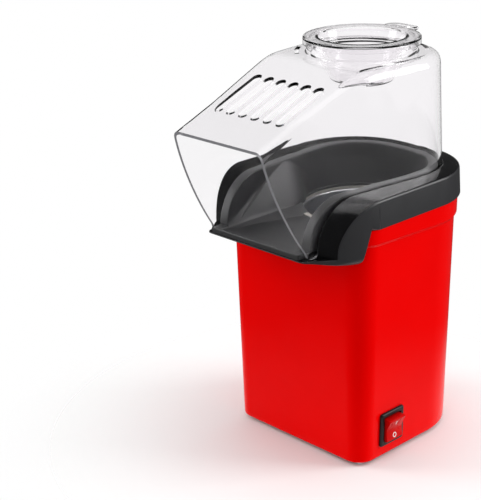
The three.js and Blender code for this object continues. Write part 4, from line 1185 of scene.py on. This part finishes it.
def make_chamber():
    low = CHAMBER_LOW[2]
    top = CHAMBER_HIGH[2]
    base = CHAMBER_RADIUS - CHAMBER_TAPER
    profile = rounded([
        (0.0, low + CHAMBER_DOME),
        (base * 0.5, low + CHAMBER_DOME * 0.75),
        (base - 6.0, low),
        (base, low + 3.0),
        (CHAMBER_RADIUS, top - CHAMBER_WALL),
        (CHAMBER_RADIUS + CHAMBER_FLANGE, top - CHAMBER_WALL),
        (CHAMBER_RADIUS + CHAMBER_FLANGE, top),
        (CHAMBER_RADIUS - CHAMBER_WALL, top),
        (base - CHAMBER_WALL, low + 3.4),
        (base - 6.0, low + CHAMBER_WALL),
        (base * 0.5, low + CHAMBER_DOME * 0.75 + CHAMBER_WALL),
        (0.0, low + CHAMBER_DOME + CHAMBER_WALL),
    ], (8.0, 4.0, 4.0, 1.0, 0.4, 0.4, 1.2, 4.0, 4.0, 8.0), 5)
    chamber = turned_piece("popping_cup", profile)
    half = np.array(AIR_SLOT_SIZE) / 2
    plane = np.array((0.0, PLANE_Y, 0.0))
    slot = make_box("air_slot", -half - plane, half - plane)
    moved(slot, ((CHAMBER_RADIUS - 2.0) * MM, 0.0, 0.0), AIR_SLOT_SLANT, "X")
    place = in_place((0.0, SPINDLE, low + AIR_SLOT_LIFT))
    combine(chamber, repeat(slot, IN_RING, {"Count": AIR_SLOTS}, ALUMINIUM, place))
    return paint(chamber, ALUMINIUM)


# --- feet and cord gland
FOOT_RADIUS = (FOOT_HIGH[0] - FOOT_LOW[0]) / 2
FOOT_PEG = 3.4
FRONT_FEET = (82.0, -36.0)         # distance apart, place in depth
REAR_FEET = (60.0, 46.0)


def make_feet():
    top = FOOT_HIGH[2]
    profile = rounded([
        (0.0, 0.0),
        (FOOT_RADIUS, 0.0),
        (FOOT_RADIUS, BASE_Z + 0.2),
        (FOOT_PEG, BASE_Z + 0.2),
        (FOOT_PEG, top),
        (0.0, top),
    ], (0.9, 0.4, 0.2, 0.3), 5)
    foot = turned_at_origin("feet", profile, 48)
    sizes = {"Front width": FRONT_FEET[0] * MM, "Rear width": REAR_FEET[0] * MM,
             "Depth": (REAR_FEET[1] - FRONT_FEET[1]) * MM}
    middle = in_place((0.0, (REAR_FEET[1] + FRONT_FEET[1]) / 2, 0.0))
    repeat(foot, AT_CORNERS, sizes, RUBBER, middle)
    reshade(foot, 40.0)
    return paint(foot, RUBBER)


def make_gland():
    bore, neck, flange = 3.4, 4.9, 7.6
    profile = rounded([
        (bore, -3.7),
        (neck, -3.7),
        (neck, 0.3),
        (flange, 0.3),
        (flange, 1.6),
        (flange - 1.2, 3.0),
        (bore, 3.0),
    ], (0.4, 0.2, 0.3, 0.8, 0.6), 4)
    lean = FLARE * (GLAND_Z - BASE_Z) / (JOINT_Z - BASE_Z)
    gland = along_y(turned_at_origin("gland", profile), BODY_REAR + lean, GLAND_Z)
    return paint(gland, BASE_BLACK)


# --- switch
ROCKER_REST = 8.0                  # degrees
ROCKER_PROUD = 3.4
ROCKER_GAP = 0.5
ROCKER_DEPTH = 0.72
ROCKER_H = BEZEL_HEIGHT / 2 - BEZEL_RIM - ROCKER_GAP
ROCKER_W = BEZEL_WIDTH / 2 - BEZEL_RIM - ROCKER_GAP
CROWN = BEZEL_PROUD + ROCKER_PROUD
VALLEY = BEZEL_PROUD + ROCKER_PROUD * 0.45


def on_switch(piece, tilt=0.0):
    """Puts a piece drawn facing +X about the switch's middle, in metres, at its place on the wall."""
    return moved(piece, in_place((SWITCH_X, SWITCH_Y, SWITCH_Z)), SWITCH_LEAN + tilt, "Y")


def rounded_frame(half_y, half_z, corner, x, steps=6):
    """A rectangle with round corners facing +X, in metres."""
    points = np.concatenate([
        arc(half_y - corner, half_z - corner, corner, 0.0, 90.0, steps),
        arc(corner - half_y, half_z - corner, corner, 90.0, 180.0, steps),
        arc(corner - half_y, corner - half_z, corner, 180.0, 270.0, steps),
        arc(half_y - corner, corner - half_z, corner, 270.0, 360.0, steps),
    ])
    return [(x * MM, y * MM, z * MM) for y, z in points]


def make_switch_body():
    half_y = BEZEL_WIDTH / 2
    half_z = BEZEL_HEIGHT / 2
    neck_y = half_y - BEZEL_FLANGE
    neck_z = half_z - BEZEL_FLANGE
    stations = [
        (-SWITCH_DEPTH, neck_y, neck_z, 1.0),
        (0.3, neck_y, neck_z, 1.0),
        (0.3, half_y, half_z, 1.6),
        (BEZEL_PROUD - 1.3, half_y, half_z, 1.6),
    ]
    for angle in np.radians(np.linspace(0.0, 90.0, 7)):
        inset = 1.3 * (1.0 - math.cos(angle))
        stations.append((BEZEL_PROUD - 1.3 + 1.3 * math.sin(angle), half_y - inset, half_z - inset, 1.6))
    inner_y = half_y - BEZEL_RIM
    inner_z = half_z - BEZEL_RIM
    for angle in np.radians(np.linspace(0.0, 90.0, 5)):
        out = 0.5 * (1.0 - math.sin(angle))
        stations.append((BEZEL_PROUD - 0.5 * (1.0 - math.cos(angle)), inner_y + out, inner_z + out, 0.8))
    stations.append((-8.0, inner_y, inner_z, 0.8))
    rows = [rounded_frame(y, z, corner, x) for x, y, z, corner in stations]
    return paint(on_switch(closed_piece("switch_bezel", rows, 35.0)), SWITCH_BLACK)


def rocker_face(z):
    """How far the rocker's curved face stands out at a height from its pivot."""
    share = np.clip(abs(z) / (ROCKER_H - 0.9), 0.0, 1.0)
    return VALLEY + (CROWN - VALLEY) * share ** 1.35


def make_rocker():
    zs = np.linspace(0.9 - ROCKER_H, ROCKER_H - 0.9, 29)
    face = [(float(rocker_face(z)), z) for z in zs]
    belly = arc(0.4, 0.0, ROCKER_H - 0.6, 90.0, 270.0, 16)[1:-1]
    belly[:, 0] = 0.4 + (belly[:, 0] - 0.4) * ROCKER_DEPTH
    crown_end = [face[-2], face[-1], (CROWN - 1.2, ROCKER_H - 0.1), (0.4, ROCKER_H - 0.6)]
    foot_end = [(0.4, 0.6 - ROCKER_H), (CROWN - 1.2, 0.1 - ROCKER_H), face[0], face[1]]
    section = [*rounded(crown_end, (0.7, 0.5)), *belly, *rounded(foot_end, (0.5, 0.7)), *face[2:-2]]
    section = np.array([tuple(point) for point in section])
    middle = np.array((1.5, 0.0))
    rows = []
    for inset, y in ((0.5, -ROCKER_W), (0.15, 0.15 - ROCKER_W), (0.0, 0.5 - ROCKER_W), (0.0, 0.0),
                     (0.0, ROCKER_W - 0.5), (0.15, ROCKER_W - 0.15), (0.5, ROCKER_W)):
        rays = section - middle
        reach = np.hypot(*rays.T)[:, None]
        drawn_in = middle + rays * (reach - inset) / reach
        rows.append([(x * MM, y * MM, z * MM) for x, z in drawn_in])
    rocker = closed_piece("rocker", rows, 35.0)
    plain_faces = len(rocker.data.polygons)
    bar = [(0.0, z) for z in np.linspace(3.4, 6.6, 8)]
    ring = arc(0.0, -4.9, 1.5, 0.0, 360.0, 32)[:-1]
    merge_into(rocker, make_mark(bar, 0.7, False), make_mark(ring, 0.6, True))
    give_materials(rocker, ROCKER_RED, MARK_WHITE)
    for face in rocker.data.polygons:
        face.material_index = int(face.index >= plain_faces)
    return on_switch(rocker, ROCKER_REST)


def make_mark(path, width, closed):
    """A thin raised line on the rocker's face along (y, z) points."""
    rows = []
    count = len(path)
    for i, (y, z) in enumerate(path):
        before = path[i - 1] if closed or i else path[0]
        after = path[(i + 1) % count] if closed or i + 1 < count else path[-1]
        way = np.array(after) - before
        side = np.array((-way[1], way[0])) / np.linalg.norm(way) * width / 2
        a = np.array((y, z)) + side
        b = np.array((y, z)) - side
        rows.append([((rocker_face(edge[1]) + lift) * MM, edge[0] * MM, edge[1] * MM)
                     for edge, lift in ((a, 0.08), (b, 0.08), (b, -0.2), (a, -0.2))])
    return closed_piece("mark", rows, ring=closed)


# --- the pieces, each on its body
PIECES = (
    (make_housing, "base", ("housing",)),
    (make_collar, "base", ("collar",)),
    (make_tray, "base", ("tray",)),
    (make_chamber, "base", ("popping_chamber",)),
    (make_feet, "base", ("foot_1", "foot_2", "foot_3", "foot_4")),
    (make_gland, "base", ("cord_gland",)),
    (make_switch_body, "base", ("switch_body",)),
    (make_rocker, "rocker", ("switch_rocker",)),
    (make_hood, "hood", ("hood",)),
    (make_lid, "lid", ("cup_lid",)),
)
for make, body, nodes in PIECES:
    piece = make()
    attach(piece, body)
    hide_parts(*nodes)

KEPT_NODES = (
    (SILICONE, ("chamber_gasket",)),
    (MICA, ("mica_frame",)),
    (WIRE, ("heater_coil",)),
    (BOARD, ("rectifier_board",)),
    (DUCT_GREY, ("fan_duct", "motor_mount", "impeller")),
    (BASE_BLACK, ("motor_cap", "base_plate", "thermostat")),
    (BRASS, ("thermal_fuse", "switch_terminal_1", "switch_terminal_2")),
    (STEEL, ("chamber_sleeve", "motor_can", "motor_shaft", "motor_screw_1", "motor_screw_2",
             "base_screw_1", "base_screw_2", "base_screw_3", "base_screw_4")),
)
for material, nodes in KEPT_NODES:
    for node in nodes:
        give_materials(bpy.data.objects[node], material)

# --- floor, light and camera
CAMERA_PLACE = (0.60333, -0.64842, 0.46976)
CAMERA_AZIMUTH = math.radians(46.684)
CAMERA_ELEVATION = math.radians(20.519)
CAMERA_ROLL = math.radians(-1.457)
CAMERA_LENS = 98.445
MIDDLE = (0.0, 0.0, 0.13)          # what the lamps face, in metres
FLOOR_SIZE = 6.0
WORLD_LIGHT = 0.68
WORLD_MIRRORED = 0.06
FLOOR_SOLID = 0.08                 # the floor fades into the white background between these distances
FLOOR_CLEAR = 0.26


def make_floor():
    bm = bmesh.new()
    bmesh.ops.create_grid(bm, x_segments=1, y_segments=1, size=FLOOR_SIZE / 2)
    floor = finish_mesh(bm, "studio_floor", outward=False)
    material = plastic("floor_white", (0.86, 0.86, 0.86), (0.9, 0.9, 0.9), 0.7, 0.8, 0.0)
    tree = material.node_tree
    place = tree.nodes.new("ShaderNodeTexCoord")
    reach = tree.nodes.new("ShaderNodeVectorMath")
    reach.operation = "LENGTH"
    fade = tree.nodes.new("ShaderNodeMapRange")
    fade.interpolation_type = "SMOOTHSTEP"
    set_sockets(fade, {"From Min": FLOOR_SOLID, "From Max": FLOOR_CLEAR, "To Min": 1.0, "To Max": 0.0})
    wire(tree, (place, "Object", reach, 0), (reach, "Value", fade, "Value"),
         (fade, "Result", tree.nodes["Principled BSDF"], "Alpha"))
    floor.data.materials.append(material)
    return floor


def make_light(name, place, size, power):
    """A white lamp that faces the middle of the object."""
    lamp = bpy.data.lights.new(name, "AREA")
    lamp.shape = "RECTANGLE"
    lamp.size, lamp.size_y = size
    lamp.energy = power
    light = make_object(name, lamp)
    way = Vector(MIDDLE) - Vector(place)
    light.rotation_euler = way.to_track_quat("-Z", "Y").to_euler()
    light.location = place
    return light


def make_world():
    """White behind the object, softer light from everywhere else."""
    world = bpy.data.worlds.new("studio")
    bpy.context.scene.world = world
    world.use_nodes = True
    tree = world.node_tree
    tree.nodes.clear()
    output = tree.nodes.new("ShaderNodeOutputWorld")
    light = add_node(tree, "ShaderNodeBackground", {"Color": (1.0, 1.0, 1.0, 1.0)})
    path = tree.nodes.new("ShaderNodeLightPath")
    seen = tree.nodes.new("ShaderNodeMath")
    seen.operation = "MAXIMUM"
    mirrored = tree.nodes.new("ShaderNodeMix")
    mirrored.inputs["A"].default_value = WORLD_LIGHT
    mirrored.inputs["B"].default_value = WORLD_MIRRORED
    strength = tree.nodes.new("ShaderNodeMix")
    strength.inputs["B"].default_value = 1.0
    wire(tree, (path, "Is Camera Ray", seen, 0), (path, "Is Transmission Ray", seen, 1),
         (path, "Is Glossy Ray", mirrored, "Factor"), (mirrored, "Result", strength, "A"),
         (seen, "Value", strength, "Factor"), (strength, "Result", light, "Strength"),
         (light, "Background", output, "Surface"))


def make_camera():
    az, el, roll = CAMERA_AZIMUTH, CAMERA_ELEVATION, CAMERA_ROLL
    back = Vector((math.sin(az) * math.cos(el), -math.cos(az) * math.cos(el), math.sin(el)))
    right = Vector((math.cos(az), math.sin(az), 0.0))
    up = back.cross(right)
    turned_right = right * math.cos(roll) + up * math.sin(roll)
    turned_up = up * math.cos(roll) - right * math.sin(roll)
    lens = bpy.data.cameras.new("camera")
    lens.lens = CAMERA_LENS
    camera = make_object("camera", lens)
    turn = Matrix((turned_right, turned_up, back)).transposed()
    camera.matrix_world = Matrix.Translation(CAMERA_PLACE) @ turn.to_4x4()
    bpy.context.scene.camera = camera


make_floor()
make_light("left_softbox", (-1.31, -0.92, 0.75), (0.7, 1.3), 13.0)
make_light("right_softbox", (1.2, 1.15, 0.8), (0.8, 1.3), 20.0)
make_light("overhead", (0.1, 0.2, 1.8), (1.6, 1.6), 9.0)
make_world()
make_camera()
bpy.context.scene.view_settings.view_transform = "Standard"
